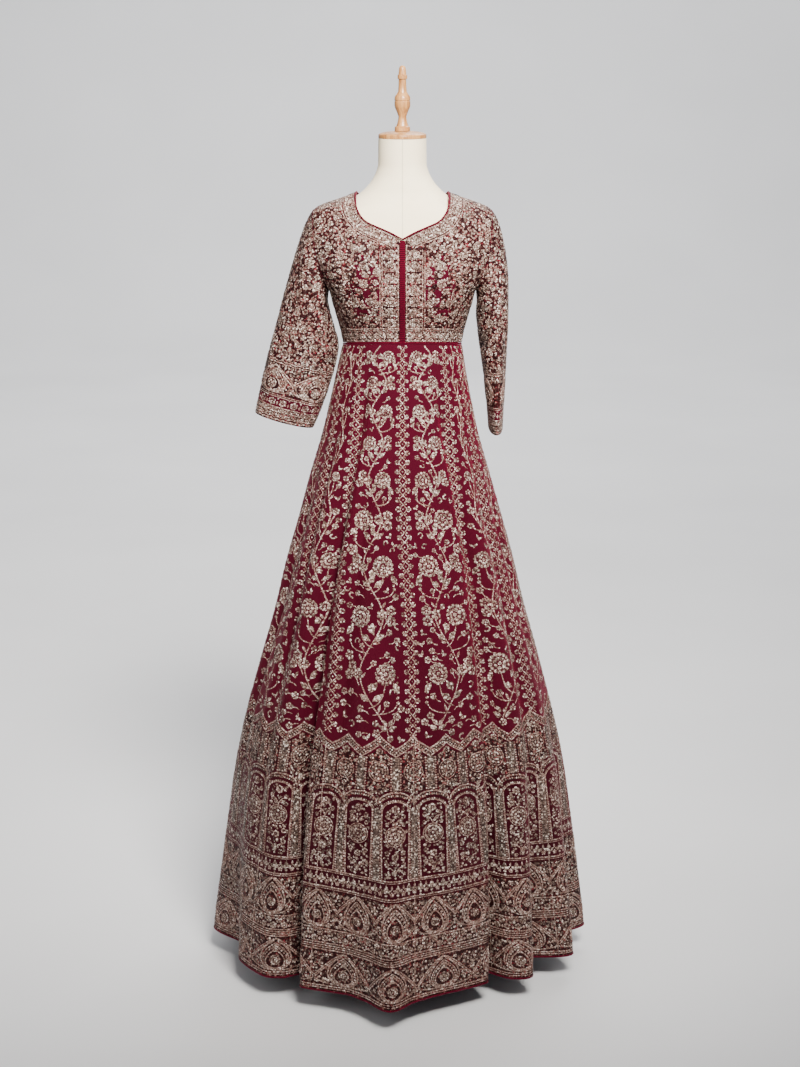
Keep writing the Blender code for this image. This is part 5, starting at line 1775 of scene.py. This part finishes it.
def waist_work(chart, start):
    w = Thread(chart)
    length = chart.length
    straight(w, start, length, 1.8, 2.2)
    straight(w, start, length, 24.6, 2.3)
    straight(w, start, length, 21.0, 1.6)
    u = np.arange(start + 6, length - 3, 13.2)
    w.stamp(FLOWER6, u, 11.4, size=1.24)
    u2 = u + 6.6
    w.stamp(LEAF, u2, 19.0, 0.0, 0.88, mat=1)
    w.stamp(LEAF, u2, 4.2, math.pi, 0.80, mat=1)
    w.stamp(FLORET5, u2, 11.2, size=0.8)
    w.stamp(BEAD, np.concatenate([u - 2.6, u + 2.6]), 19.2, size=1.9)
    w.stamp(BEAD, np.concatenate([u - 2.6, u + 2.6]), 3.9, size=1.9)
    return w


waist_thread = waist_work(waist_strip, 0.5)
back_waist_thread = waist_work(back_waist, 0.5)

# beside the placket: blocks of a fan and leaves, one line between each two
centre_thread = Thread(centre_strip)
length = centre_strip.length
straight(centre_thread, 8, length - 26, 1.9, 2.2)
straight(centre_thread, 17, length - 24, 30.6, 2.2, wave=lambda u: 0.9 * np.sin(u * 2 * math.pi / 10.3))
straight(centre_thread, 19, length - 24, 34.4, 1.7)
straight(centre_thread, 17, length - 24, 32.5, 2.0, rise=1.0, mat=3)
first_block, last_block = 15.0, length - 25.0
blocks = int(round((last_block - first_block) / 20.6))
block = (last_block - first_block) / blocks
for k in range(blocks):
    u = first_block + (k + 0.5) * block
    n = 9
    centre_thread.cord(np.full(n, u - block / 2), np.linspace(3, 29.5, n), 3.0, 1.0, mat=3)
    centre_thread.stamp(ROSETTE, u - 0.4, 15.6, size=0.86)
    for dv, a in ((6.2, -1), (25.2, 1)):
        centre_thread.stamp(FLOWER5, u + 4.6, dv, size=0.92)
        centre_thread.stamp(LEAF, u - 0.6, dv, -math.pi / 2 + a * 0.5, 0.74, mat=1)
        centre_thread.stamp(BEAD, u - 6.8, dv + a * 1.2, size=2.1)
    centre_thread.stamp(BEAD, u + 9.0, np.array([11.6, 15.6, 19.6]), size=1.8, mat=1)


# ----------------------------------------------- close floral work (a jaal)
def scatter(grid, pitch, allowed, rng, tries):
    """Places at least a pitch apart, even over the cloth's area."""
    p = grid.points * 1000
    if grid.closed:
        p = np.concatenate([p, p[:, :1]], axis=1)
    a = np.linalg.norm(np.cross(p[1:, :-1] - p[:-1, :-1], p[:-1, 1:] - p[:-1, :-1]), axis=2)
    share = (a / a.sum()).ravel()
    pick = rng.choice(len(share), size=tries, p=share)
    r = pick // a.shape[1] + rng.uniform(0, 1, tries)
    c = pick % a.shape[1] + rng.uniform(0, 1, tries)
    place = grid.read(grid.points, r, c) * 1000
    ok = allowed(r, c, place)
    r, c, place = r[ok], c[ok], place[ok]
    cells, kept = {}, []
    for i, q in enumerate(place):
        key = tuple((q // pitch).astype(int))
        near = False
        for dx in (-1, 0, 1):
            for dy in (-1, 0, 1):
                for dz in (-1, 0, 1):
                    for j in cells.get((key[0] + dx, key[1] + dy, key[2] + dz), ()):
                        d = place[j] - q
                        if d @ d < pitch * pitch:
                            near = True
                            break
                    if near:
                        break
                if near:
                    break
            if near:
                break
        if not near:
            cells.setdefault(key, []).append(i)
            kept.append(i)
    return r[kept], c[kept], place[kept]


VINE = together(line(curl_path(5.0, 4.6, 14), 1.8, 0.75), placed(floret(2.6, 5), -4.2, -3.0),
                placed(leaf(6.0, 3.0, 0.7), 0.4, 1.5, 2.4))


def jaal(grid, allowed, seed, gaps=None):
    work = Thread(grid)
    rng = np.random.default_rng(seed)
    r, c, big = scatter(grid, 27.0, allowed, rng, 900)
    turn = rng.uniform(0, 6.28, len(r))
    work.stamp(ROSETTE, c, r, turn, 0.80)

    def clear_of(others, reach):
        def test(r, c, p):
            ok = allowed(r, c, p)
            for q, d in others:
                if len(q):
                    near = ((p[:, None] - q[None]) ** 2).sum(2).min(1)
                    ok = ok & (near > (d + reach) ** 2)
            return ok
        return test
    r, c, mid = scatter(grid, 13.5, clear_of([(big, 8.0)], 5.4), rng, 5000)
    kind = rng.uniform(0, 1, len(r))
    turn = rng.uniform(0, 6.28, len(r))
    a = kind < 0.62
    work.stamp(FLOWER5, c[a], r[a], turn[a], 1.10)
    work.stamp(VINE, c[~a], r[~a], turn[~a], 1.0, mat=1, flip=np.where(turn[~a] > 3.1, 1.0, -1.0))
    r, c, small = scatter(grid, 5.9, clear_of([(big, 8.0), (mid, 5.4)], 1.6), rng, 26000)
    keep = np.ones(len(r), bool) if gaps is None else ~gaps(small, rng)
    r, c = r[keep], c[keep]
    kind = rng.uniform(0, 1, len(r))
    turn = rng.uniform(0, 6.28, len(r))
    grow = rng.uniform(0.88, 1.15, len(r))
    for shape, low, high, size, mat in ((FLORET5, 0, 0.30, 0.84, 0), (LEAF, 0.30, 0.68, 0.74, 1),
                                        (FLORET4, 0.68, 0.86, 0.80, 1), (BEAD, 0.86, 1.1, 2.4, 0)):
        k = (kind >= low) & (kind < high)
        work.stamp(shape, c[k], r[k], turn[k], size * grow[k], mat)
    return work


def from_line(points, p):
    """Distance in mm, seen from the front, to a line of (half, height)."""
    q = np.asarray(points) * 1000
    x, z = np.abs(p[:, 0]), p[:, 2]
    best = np.full(len(p), 1e9)
    for a, b in zip(q[:-1], q[1:]):
        d = b - a
        t = np.clip(((x - a[0]) * d[0] + (z - a[1]) * d[1]) / (d @ d), 0, 1)
        best = np.minimum(best, np.hypot(x - a[0] - t * d[0], z - a[1] - t * d[1]))
    return best


def above_waist(grid, c, p):
    edge = grid.read(grid.points, np.full(len(c), len(grid.points) - 1.0), c)[:, 2] * 1000
    return p[:, 2] - edge


def front_allowed(r, c, p):
    return ((from_line(NECK_FRONT, p) > 27) & (above_waist(grid_left, c, p) > 28)
            & ((np.abs(p[:, 0]) > 44) | (p[:, 2] > 1383)) & (r > 0.6) & (c < FRONT_COLUMNS - 0.4))


def front_gaps(p, rng):
    """Where the maroon shows through more: down the middle of the panel."""
    x = np.abs(p[:, 0])
    wave = np.sin(p[:, 2] / 11.0 + x / 17.0) + np.sin(p[:, 2] / 7.3 - x / 9.0)
    return (rng.uniform(0, 1, len(p)) < 0.62 * np.exp(-((x - 66) / 22) ** 2)) & (wave > -0.3)


def front_worked(grid):
    """Which faces are closely stitched: all but a few gaps down the middle."""
    p = (grid.points[:-1, :-1] + grid.points[1:, 1:]) * 500
    q = p.reshape(-1, 3)
    x, z = np.abs(q[:, 0]), q[:, 2]
    wave = np.sin(z / 8.0 + x / 11.0) * np.sin(z / 5.1 - x / 6.3) + 0.35 * np.sin(x / 4.0 + z / 13.0)
    open_here = (np.exp(-((x - 66) / 24) ** 2) * np.exp(-((z - 1300) / 52) ** 2) > 0.30) & (wave > -0.05)
    return (~open_here).astype(int)


def back_allowed(r, c, p):
    return ((from_line(NECK_BACK, p) > 28) & (above_waist(grid_back, c, p) > 28)
            & (r > 0.6) & (c > 0.4) & (c < 2 * BACK_COLUMNS - 0.4))


front_jaal = jaal(grid_left, front_allowed, 11, front_gaps)
back_jaal = jaal(grid_back, back_allowed, 12)

for name, grid, work, rests in (
        ("bodice_front_left", grid_left, (front_jaal, neck_thread, waist_thread, centre_thread), None),
        ("bodice_front_right", grid_right, (front_jaal, neck_thread, waist_thread, centre_thread), None),
        ("bodice_back", grid_back, (back_jaal, back_neck_thread, back_waist_thread), None)):
    points = grid.points.copy()
    sign = 1.0 if name == "bodice_back" else -1.0
    edges = (0, -1) if name == "bodice_back" else (-1,)
    for c in edges:
        points[HIGH_ROWS:, c, 1] += sign * SEAM / 2
    points[0, np.abs(points[0, :, 1]) < 0.0008, 1] += sign * SEAM / 2
    stitch_or_shade_faces = front_worked(grid) if name != "bodice_back" else np.ones((len(points) - 1) * (points.shape[1] - 1), int)
    cloth = note(shell(name + "_cloth", points, grid.normals, MAROON_CLOTH, stitch_or_shade_faces=stitch_or_shade_faces))
    zari = note(sewn(name + "_zari", [(w, None) for w in work], base=None if name != "bodice_front_right" else grid_right))
    for piece, slot in ((cloth, "maroon_cloth"), (zari, "zari_cloth")):
        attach(piece, "root")
    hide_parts(name)


# ============================================================ the sleeves
def sleeve_points(rings, sign):
    arm_front = front[:HIGH_ROWS + 1, -1]          # tip to armpit
    arm_back = back[:HIGH_ROWS + 1, -1]
    loop = np.vstack([arm_front, arm_back[1:-1][::-1]])
    turn = math.pi * np.linspace(0, 1, HIGH_ROWS + 1)
    angles = np.concatenate([turn, 2 * math.pi - turn[1:-1][::-1]])
    grid = [loop + np.array([0.0009, 0.0, 0.0])]
    for ring_row in rings:
        r = dict(zip(RING_COLUMNS, ring_row))
        middle = np.array([(r["outer_x"] + r["inner_x"]) / 2, 0.0, (r["outer_z"] + r["inner_z"]) / 2])
        reach = np.array([(r["outer_x"] - r["inner_x"]) / 2, 0.0, (r["outer_z"] - r["inner_z"]) / 2])
        grid.append(middle + np.cos(angles)[:, None] * reach
                    - np.sin(angles)[:, None] * np.array([0.0, r["half_depth"], 0.0]))
    grid = np.array(grid)
    fine = np.stack([along(grid[:, k], np.linspace(0, 1, 61)) for k in range(grid.shape[1])], axis=1)
    return fine * np.array([sign, 1.0, 1.0])


SLEEVE_CREASES = {
    # round from the outer edge towards the front, as a share of the girth,
    # and mm down from the armhole along the sleeve: start, end, half width
    # in mm, depth
    "sleeve_right": ((0.46, 52, 0.20, 96, 8, 3.4), (0.48, 96, 0.24, 130, 7, 3.0), (0.47, 138, 0.28, 158, 7, 2.8),
                     (0.44, 30, 0.30, 66, 6, 2.2), (0.16, 120, 0.06, 186, 10, 2.2), (0.34, 176, 0.20, 250, 11, 2.4),
                     (0.12, 30, 0.20, 110, 9, -2.0), (0.44, 186, 0.36, 262, 8, -1.8), (0.08, 220, 0.12, 330, 12, -1.8),
                     (0.56, 60, 0.80, 110, 9, 3.0), (0.54, 110, 0.74, 150, 8, 2.6), (0.60, 160, 0.78, 230, 11, 2.2),
                     (0.88, 90, 0.92, 200, 10, -2.0)),
    "sleeve_left": ((0.45, 48, 0.22, 84, 8, 3.0), (0.48, 90, 0.26, 118, 7, 2.6), (0.30, 120, 0.24, 230, 11, 2.4),
                    (0.16, 60, 0.14, 210, 10, -2.2), (0.42, 150, 0.36, 240, 9, -1.8), (0.08, 150, 0.10, 300, 9, 2.0),
                    (0.56, 60, 0.78, 104, 9, 2.8), (0.62, 130, 0.72, 240, 11, 2.4), (0.86, 80, 0.88, 220, 10, -2.0)),
}


class Cuffed(Grid):
    """A sleeve: u is the turn from the outer edge, v mm up from the cuff (< 0)."""

    def settle(self):
        p = self.points * 1000
        step = np.linalg.norm(np.diff(p, axis=0), axis=2)
        up = np.concatenate([np.cumsum(step[::-1], axis=0)[::-1], np.zeros((1, p.shape[1]))])
        rows = np.arange(len(p)).astype(float)
        self.step = 4.0
        levels = np.arange(0, 480, self.step)
        self.table = np.stack([np.interp(levels, up[::-1, j], rows[::-1]) for j in range(p.shape[1])], axis=1)
        j = np.arange(p.shape[1])
        q = np.array([self.read(self.points, t, j.astype(float)) for t in self.table]) * 1000
        self.wide = np.linalg.norm(np.roll(q, -1, 1) - np.roll(q, 1, 1), axis=2) / 2 * p.shape[1]
        self.reach = up[0]
        return self

    def cell(self, u, v):
        c = np.mod(u, 1.0) * self.points.shape[1]
        return self.read(self.table, np.clip(-v, 0, 470) / self.step, c), c

    def scale(self, u, v):
        u, v = np.asarray(u, float), np.asarray(v, float)
        return self.read(self.wide, np.clip(-v, 0, 470) / self.step, np.mod(u, 1.0) * self.points.shape[1])

    def even(self, n, start, v):
        """n places an even way apart round the sleeve at v."""
        u = np.linspace(0, 1, 361)
        w = self.scale(u, np.full(361, float(v)))
        run = np.concatenate([[0], np.cumsum((w[1:] + w[:-1]) / 2)]) / 360
        return np.interp(((np.arange(n) + start) % n) / n * run[-1], run, u), run[-1] / n


def sleeve_border(grid, v_cuff):
    w = Thread(grid)

    def ring_line(v, width, rise=0.95, wave=0.0, waves=1, count=90):
        u = np.linspace(0, 1, count + 1)[:-1]
        w.cord_ring(u, v + wave * np.abs(np.sin(u * waves * math.pi)), width, rise)
    ring_line(-2.6, 2.6, wave=-1.6, waves=26, count=156)
    ring_line(-7.4, 1.8, wave=-1.6, waves=26, count=156)
    for level, shift in ((-12.5, 0.0), (-21.5, 0.5)):
        u, pitch = grid.even(25, shift, level)
        w.stamp(FLOWER5, u, level, size=0.90)
        u, pitch = grid.even(25, shift + 0.5, level)
        w.stamp(LEAF, u, level + 3.0, 0.0, 0.62, mat=1)
    ring_line(-17.0, 1.7, wave=-2.2, waves=50, count=200)
    ring_line(-26.4, 2.0)
    u, pitch = grid.even(15, 0.2, -35.0)
    w.stamp(FLOWER6, u, -35.5, size=1.46)
    u, pitch = grid.even(15, 0.7, -35.0)
    w.stamp(LEAF, u, -30.0, 0.0, 0.90, mat=1)
    w.stamp(BEAD, u, -42.4, size=2.0)
    ring_line(-45.4, 2.0)
    ring_line(-48.6, 1.6)
    n = 4
    u, pitch = grid.even(n, 0.5, -74.0)
    drop_row(w, u, pitch, -104.0, -50.0, 62.0, -72.0, 0.3)
    ring_line(-106.0, 2.4, wave=-1.5, waves=22, count=132)
    ring_line(-110.0, 1.7, wave=-1.5, waves=22, count=132)
    # small work between the drops
    us, vs = [], []
    rng = np.random.default_rng(5)
    outer = drop_path(62.0 + 5.0, 54 * 0.92 + 5, 60)
    outer[:, 1] += -77.0 + (27 - 54 * 0.46 - 2.5) * 0.75
    right_side = outer[outer[:, 0] >= -1e-6]
    order = np.argsort(right_side[:, 1])
    for level in np.arange(-102.0, -52.0, 5.6):
        count = int(grid.even(1, 0, level)[1] / 6.4)
        pos, step = grid.even(count, 0.5 * (int(level) % 2), level)
        centre_run = [np.min(np.abs(((pos[:, None] - u[None] + 0.5) % 1) - 0.5), axis=1)]
        x = centre_run[0] * grid.scale(pos, np.full(count, level))
        edge = np.interp(level, right_side[order][:, 1], right_side[order][:, 0], left=0, right=0)
        t = np.clip((x - 2) / (pitch / 2 - 2), 0, 1) ** (1.15 / 0.9)
        off = np.abs(level - (-101.0 + (104 - 72 - 4) * t) - 2.2) > 5.0
        ok = (x > edge) & off
        us.append(pos[ok])
        vs.append(np.full(ok.sum(), level) + rng.normal(0, 0.5, ok.sum()))
    fill(np.concatenate(us), np.concatenate(vs), 0.86, work=w)
    return w


def cord_ring(self, u, v, width, rise):
    """A closed cord round a sleeve."""
    scale = self.chart.scale(u, v)
    du = np.roll(u, -1) - np.roll(u, 1)
    du -= np.round(du)
    dv = np.roll(v, -1) - np.roll(v, 1)
    tx, ty = du * scale, dv
    size = np.maximum(np.hypot(tx, ty), 1e-9)
    nx, ny = -ty / size * width / 2, tx / size * width / 2
    uu = np.stack([u - nx / scale, u, u + nx / scale], 1)
    vv = np.stack([v - ny, v, v + ny], 1)
    hh = np.stack([np.full(len(u), SUNK), np.full(len(u), rise), np.full(len(u), SUNK)], 1)
    i = np.arange(len(u))
    j = (i + 1) % len(u)
    tris = []
    for k in (0, 1):
        tris.append(np.stack([3 * i + k, 3 * j + k, 3 * j + k + 1], 1))
        tris.append(np.stack([3 * i + k, 3 * j + k + 1, 3 * i + k + 1], 1))
    self.add(uu, vv, hh, np.vstack(tris), 1)


Thread.cord_ring = cord_ring

for name, rings, sign, seed in (("sleeve_right", SLEEVE_RIGHT, -1.0, 21), ("sleeve_left", SLEEVE_LEFT, 1.0, 22)):
    points = sleeve_points(rings, sign)
    middle = points.mean(axis=1, keepdims=True)
    g = Grid(points, closed=True, outward=middle)
    down = np.concatenate([np.zeros((1, points.shape[1])),
                           np.cumsum(np.linalg.norm(np.diff(points, axis=0), axis=2), axis=0)]) * 1000
    run = np.linalg.norm(np.diff(np.concatenate([points, points[:, :1]], 1), axis=1), axis=2)
    share = np.concatenate([np.zeros((len(points), 1)), np.cumsum(run, axis=1)[:, :-1]], 1) / run.sum(1)[:, None]
    creases = [(a * 300.0, b, c * 300.0, d, half, 1.5 * depth) for a, b, c, d, half, depth in SLEEVE_CREASES[name]]
    points = pressed(g, creases, (share * 300.0, down), None)
    points[0] = g.points[0]
    free = Grid(points, closed=True, outward=middle)
    cuffed = Cuffed(points, closed=True, outward=middle).settle()
    border = sleeve_border(cuffed, 0)
    up = np.concatenate([np.cumsum(np.linalg.norm(np.diff(points, axis=0), axis=2)[::-1], axis=0)[::-1],
                         np.zeros((1, points.shape[1]))]) * 1000

    def allowed(r, c, p, grid=free, up=up):
        return (grid.read(up, r, c) > 113.5) & (r > 1.0)
    net = jaal(free, allowed, seed)
    level = (up[1:] + up[:-1]) / 2
    stitch_or_shade_faces = ~((level > 25) & (level < 50))
    cloth = note(shell(name + "_cloth", points, free.normals, MAROON_CLOTH, closed=True, stitch_or_shade_faces=stitch_or_shade_faces.astype(int)))
    zari = note(sewn(name + "_zari", [(net, None), (border, None)]))
    for piece, slot in ((cloth, "maroon_cloth"), (zari, "zari_cloth")):
        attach(piece, "root")
    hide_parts(name)


# ================================================== placket and the pipings
def tube(name, path, radius, mat, sides=10, closed=True):
    path = np.asarray(path, float)
    n = len(path)
    t = unit(np.roll(path, -1, 0) - np.roll(path, 1, 0))
    ref = np.array([0.0, 0.0, 1.0]) if abs(t[:, 2]).max() < 0.98 else None
    a = np.cross(t, np.array([0.0, 0.0, 1.0])) if ref is not None else np.cross(t, path - path.mean(0))
    a = unit(a)
    b = np.cross(t, a)
    s = np.arange(sides) * 2 * math.pi / sides
    ringed_points = path[:, None] + radius * (np.cos(s)[None, :, None] * a[:, None] + np.sin(s)[None, :, None] * b[:, None])
    i, k = np.meshgrid(np.arange(n), np.arange(sides), indexing="ij")
    i, k = i.ravel(), k.ravel()
    i2, k2 = (i + 1) % n, (k + 1) % sides
    faces = np.stack([i * sides + k, i2 * sides + k, i2 * sides + k2, i * sides + k2], 1)
    verts = ringed_points.reshape(-1, 3)
    q = verts[faces[0]]
    if np.dot(np.cross(q[1] - q[0], q[2] - q[0]), q.mean(0) - (path[0] + path[1]) / 2) < 0:
        faces = faces[:, ::-1]
    return note(build(name, verts, faces, [mat]))


def corded(obj, node_name):
    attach(obj, "root")
    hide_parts(node_name)


hem = ring.points[-1] - 0.0006 * ring.normals[-1]
hem[:, 2] = HEM_H - HEM_PIPING_R - 0.0002
corded(tube("hem_piping_cord", hem, HEM_PIPING_R, MAROON_EDGE), "hem_piping")

az = np.linspace(0, 2 * math.pi, 181)[:-1]
corded(tube("waist_piping_cord", skirt_point(az, 0.0) - CLOTH / 2 * skirt_normal(az, 0.0), PIPING_R, MAROON_EDGE),
       "waist_piping")

# the neck: just inside the panels' edges
up_front = front[::-1]
top_back = back[0]
first_row = V_ROW
edge = np.vstack([up_front[first_row:, 0], top_back[BACK_COLUMNS:BACK_COLUMNS + BACK_NECK_COLUMNS][::-1]])
face = np.vstack([grid_left.normals[::-1][first_row:, 0],
                  grid_back.normals[0][BACK_COLUMNS:BACK_COLUMNS + BACK_NECK_COLUMNS][::-1]])
edge = np.vstack([edge, (edge * MIRROR)[-2::-1]])
face = np.vstack([face, (face * MIRROR)[-2::-1]])
t = unit(np.gradient(edge, axis=0))
inward = unit(np.cross(face, t))
if (inward * (np.array([0.0, 0.0, 1.45]) - edge)).sum() < 0:
    inward = -inward
neck = edge + inward * (PIPING_R + 0.0003) - face * CLOTH / 2
strip = up_front[:, 0]
v_point = np.array([[0.0, np.interp(NECK_FRONT[0][1], strip[:, 2], strip[:, 1]) + CLOTH / 2, NECK_FRONT[0][1]]])
corded(tube("neck_piping_cord", np.vstack([v_point, neck]), PIPING_R, MAROON_EDGE), "neck_piping")

# the placket: fine ribs across, between the two fronts
top_of_v = NECK_FRONT[0][1] - PIPING_R - 0.0008
low_z = strip[0, 2]
z = np.arange(low_z, top_of_v, 0.00058)
y = np.interp(z, strip[:, 2], strip[:, 1])
x = np.linspace(-PLACKET_HALF, PLACKET_HALF, 9)
rib = 0.0008 * np.abs(np.sin(math.pi * (z - low_z) / 0.0035)) ** 0.6
crown = 0.0006 * (1 - (np.abs(x) / PLACKET_HALF) ** 4)
g = np.stack([np.broadcast_to(x[None], (len(z), 9)), y[:, None] - crown[None] - rib[:, None] * (crown[None] > 1e-5),
              np.broadcast_to(z[:, None], (len(z), 9))], axis=2)
g = Grid(g[::-1], outward=MIDDLE)
placket = note(shell("placket_cloth", g.points, np.broadcast_to(np.array([0.0, -1.0, 0.0]), g.points.shape).copy(), MAROON_RIBS))
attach(placket, "root")
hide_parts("placket")

# ============================================================ the dress form
form = curves(FORM, FORM_COLUMNS)
heights = np.unique(np.concatenate([np.linspace(FORM[0][0], FORM[-1][0], 100), column(FORM, FORM_COLUMNS, "height")]))
around = np.linspace(0, 2 * math.pi, 97)[:-1]
verts, faces = [], []
for h in heights:
    a, n = float(form["half"](h)), float(form["power"](h))
    s_, c_ = np.sin(around), np.cos(around)
    b = np.where(c_ > 0, float(form["front"](h)), float(form["back"](h)))
    verts.append(np.stack([a * np.sign(s_) * np.abs(s_) ** (2 / n), -b * np.sign(c_) * np.abs(c_) ** (2 / n),
                           np.full(len(around), h)], axis=1))
count = len(around)
for r in range(len(heights) - 1):
    for c in range(count):
        d = (c + 1) % count
        faces.append((r * count + c, r * count + d, (r + 1) * count + d, (r + 1) * count + c))
faces.append(tuple(range(count))[::-1])
faces.append(tuple(range((len(heights) - 1) * count, len(heights) * count)))
torso = note(build("form_torso_jersey", np.vstack(verts), faces, [JERSEY], smooth_angle=40))
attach(torso, "root")
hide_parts("form_torso")


def lathe(name, profile, mat, steps=72):
    """profile: (radius, height) from the top down to the axis again."""
    verts, faces = [], []
    rows = []
    for r, z in profile:
        if r < 1e-9:
            rows.append([len(verts)])
            verts.append((0.0, 0.0, z))
        else:
            rows.append(list(range(len(verts), len(verts) + steps)))
            for k in range(steps):
                t = 2 * math.pi * k / steps
                verts.append((r * math.sin(t), -r * math.cos(t), z))
    for a, b in zip(rows[:-1], rows[1:]):
        for k in range(steps):
            d = (k + 1) % steps
            if len(a) == 1:
                faces.append((a[0], b[k], b[d]))
            elif len(b) == 1:
                faces.append((a[k], b[0], a[d]))
            else:
                faces.append((a[k], b[k], b[d], a[d]))
    obj = build(name, np.array(verts), faces, [mat], smooth_angle=32)
    return note(obj)


cap_low = TORSO_TOP + 0.0003
cap = [(0.0, cap_low + CAP_H), (0.0050, cap_low + CAP_H)]
cap += [(CAP_R * math.sin(t), cap_low + CAP_EDGE_H + (CAP_H - CAP_EDGE_H) * math.cos(t))
        for t in np.linspace(0.24, math.pi / 2, 16)]
cap += [(CAP_R - 0.0003, cap_low + CAP_EDGE_H - 0.0003), (CAP_R - 0.0003, cap_low + CAP_EDGE_H - 0.0008),
        (CAP_R, cap_low + CAP_EDGE_H - 0.0011), (CAP_R, cap_low + 0.0006), (CAP_R - 0.0006, cap_low), (0.0, cap_low)]
finial = [(r / 1000, FINIAL_BASE + h / 1000) for h, r in FINIAL] + [(0.0, FINIAL_BASE)]
fine = [finial[0]]
for (r0, z0), (r1, z1) in zip(finial[:-1], finial[1:]):
    fine += [(r1, z1)]
for name, profile in (("form_cap", cap), ("form_finial", fine)):
    obj = lathe(name + "_wood", profile, LIGHT_WOOD)
    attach(obj, "root")
    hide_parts(name)
for name in ("form_pole", "form_base"):
    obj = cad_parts[name]
    for slot in obj.material_slots:
        slot.material = STEEL_PAINT


# ------------------------------------------------- floor, light and camera
floor_mat, nodes, links = new_material("pale_floor")
where = node(nodes, "ShaderNodeTexCoord").outputs["Object"]
haze = node(nodes, "ShaderNodeTexNoise")
haze.inputs["Scale"].default_value = 1.3
links.new(where, haze.inputs["Vector"])
tone = ramp(nodes, ((0.35, (0.80, 0.80, 0.81)), (0.65, (0.84, 0.84, 0.85))))
links.new(haze.outputs[0], tone.inputs[0])
s = shader_of(nodes, links, tone.outputs[0])
s.inputs["Roughness"].default_value = 0.75
# a floor that curves up, far behind, into a plain back wall
profile = [(-30.0, 0.0), (6.6, 0.0)]
for t in np.linspace(0, math.pi / 2, 14)[1:]:
    profile.append((6.6 + 2.0 * math.sin(t), 2.0 - 2.0 * math.cos(t)))
profile.append((8.6, 7.0))
verts = [(x, y, z) for y, z in profile for x in (-30.0, 30.0)]
faces = [(2 * i, 2 * i + 1, 2 * i + 3, 2 * i + 2) for i in range(len(profile) - 1)]
stage = build("studio_floor", np.array(verts), faces, [floor_mat])

world = bpy.data.worlds.new("soft_studio")
bpy.context.scene.world = world
world.use_nodes = True
backdrop = next(n for n in world.node_tree.nodes if n.type == "BACKGROUND")
backdrop.inputs["Color"].default_value = (0.93, 0.95, 1.0, 1.0)
backdrop.inputs["Strength"].default_value = 0.23


def softbox(name, place, aim, size, energy, color=(1, 1, 1), spread=180.0):
    lamp = bpy.data.lights.new(name, "AREA")
    lamp.shape = "RECTANGLE"
    lamp.size, lamp.size_y = size
    lamp.energy = energy
    lamp.spread = math.radians(spread)
    lamp.color = color
    obj = bpy.data.objects.new(name, lamp)
    bpy.context.scene.collection.objects.link(obj)
    obj.location = place
    way = np.array(aim) - np.array(place)
    flat = math.hypot(way[0], way[1])
    obj.rotation_euler = (math.atan2(flat, -way[2]), 0.0, math.atan2(-way[0], way[1]))
    return obj


softbox("key_light", (0.55, -2.2, 3.1), (0.0, 0.0, 1.48), (1.0, 1.0), 51.0, (1.0, 0.965, 0.92), 62.0)
softbox("fill_light", (-2.2, -2.4, 2.4), (0.0, 0.0, 1.2), (1.6, 1.8), 14.0, (1.0, 0.98, 0.96))
softbox("rim_light", (0.6, 1.6, 3.0), (0.0, 0.0, 1.1), (1.6, 0.8), 34.0)
softbox("backdrop_light", (0.0, 4.2, 5.2), (0.0, 8.0, 1.0), (5.0, 1.5), 420.0)

camera_data = bpy.data.cameras.new("camera")
camera_data.sensor_fit = "AUTO"
camera_data.sensor_width = 36.0
camera_data.lens = 2091.07 / 1067.0 * 36.0
camera = bpy.data.objects.new("camera", camera_data)
bpy.context.scene.collection.objects.link(camera)
camera.location = (-0.0042, -3.75, 1.78)
camera.rotation_euler = (math.radians(90.0 - 14.17), 0.0, 0.0)
bpy.context.scene.camera = camera
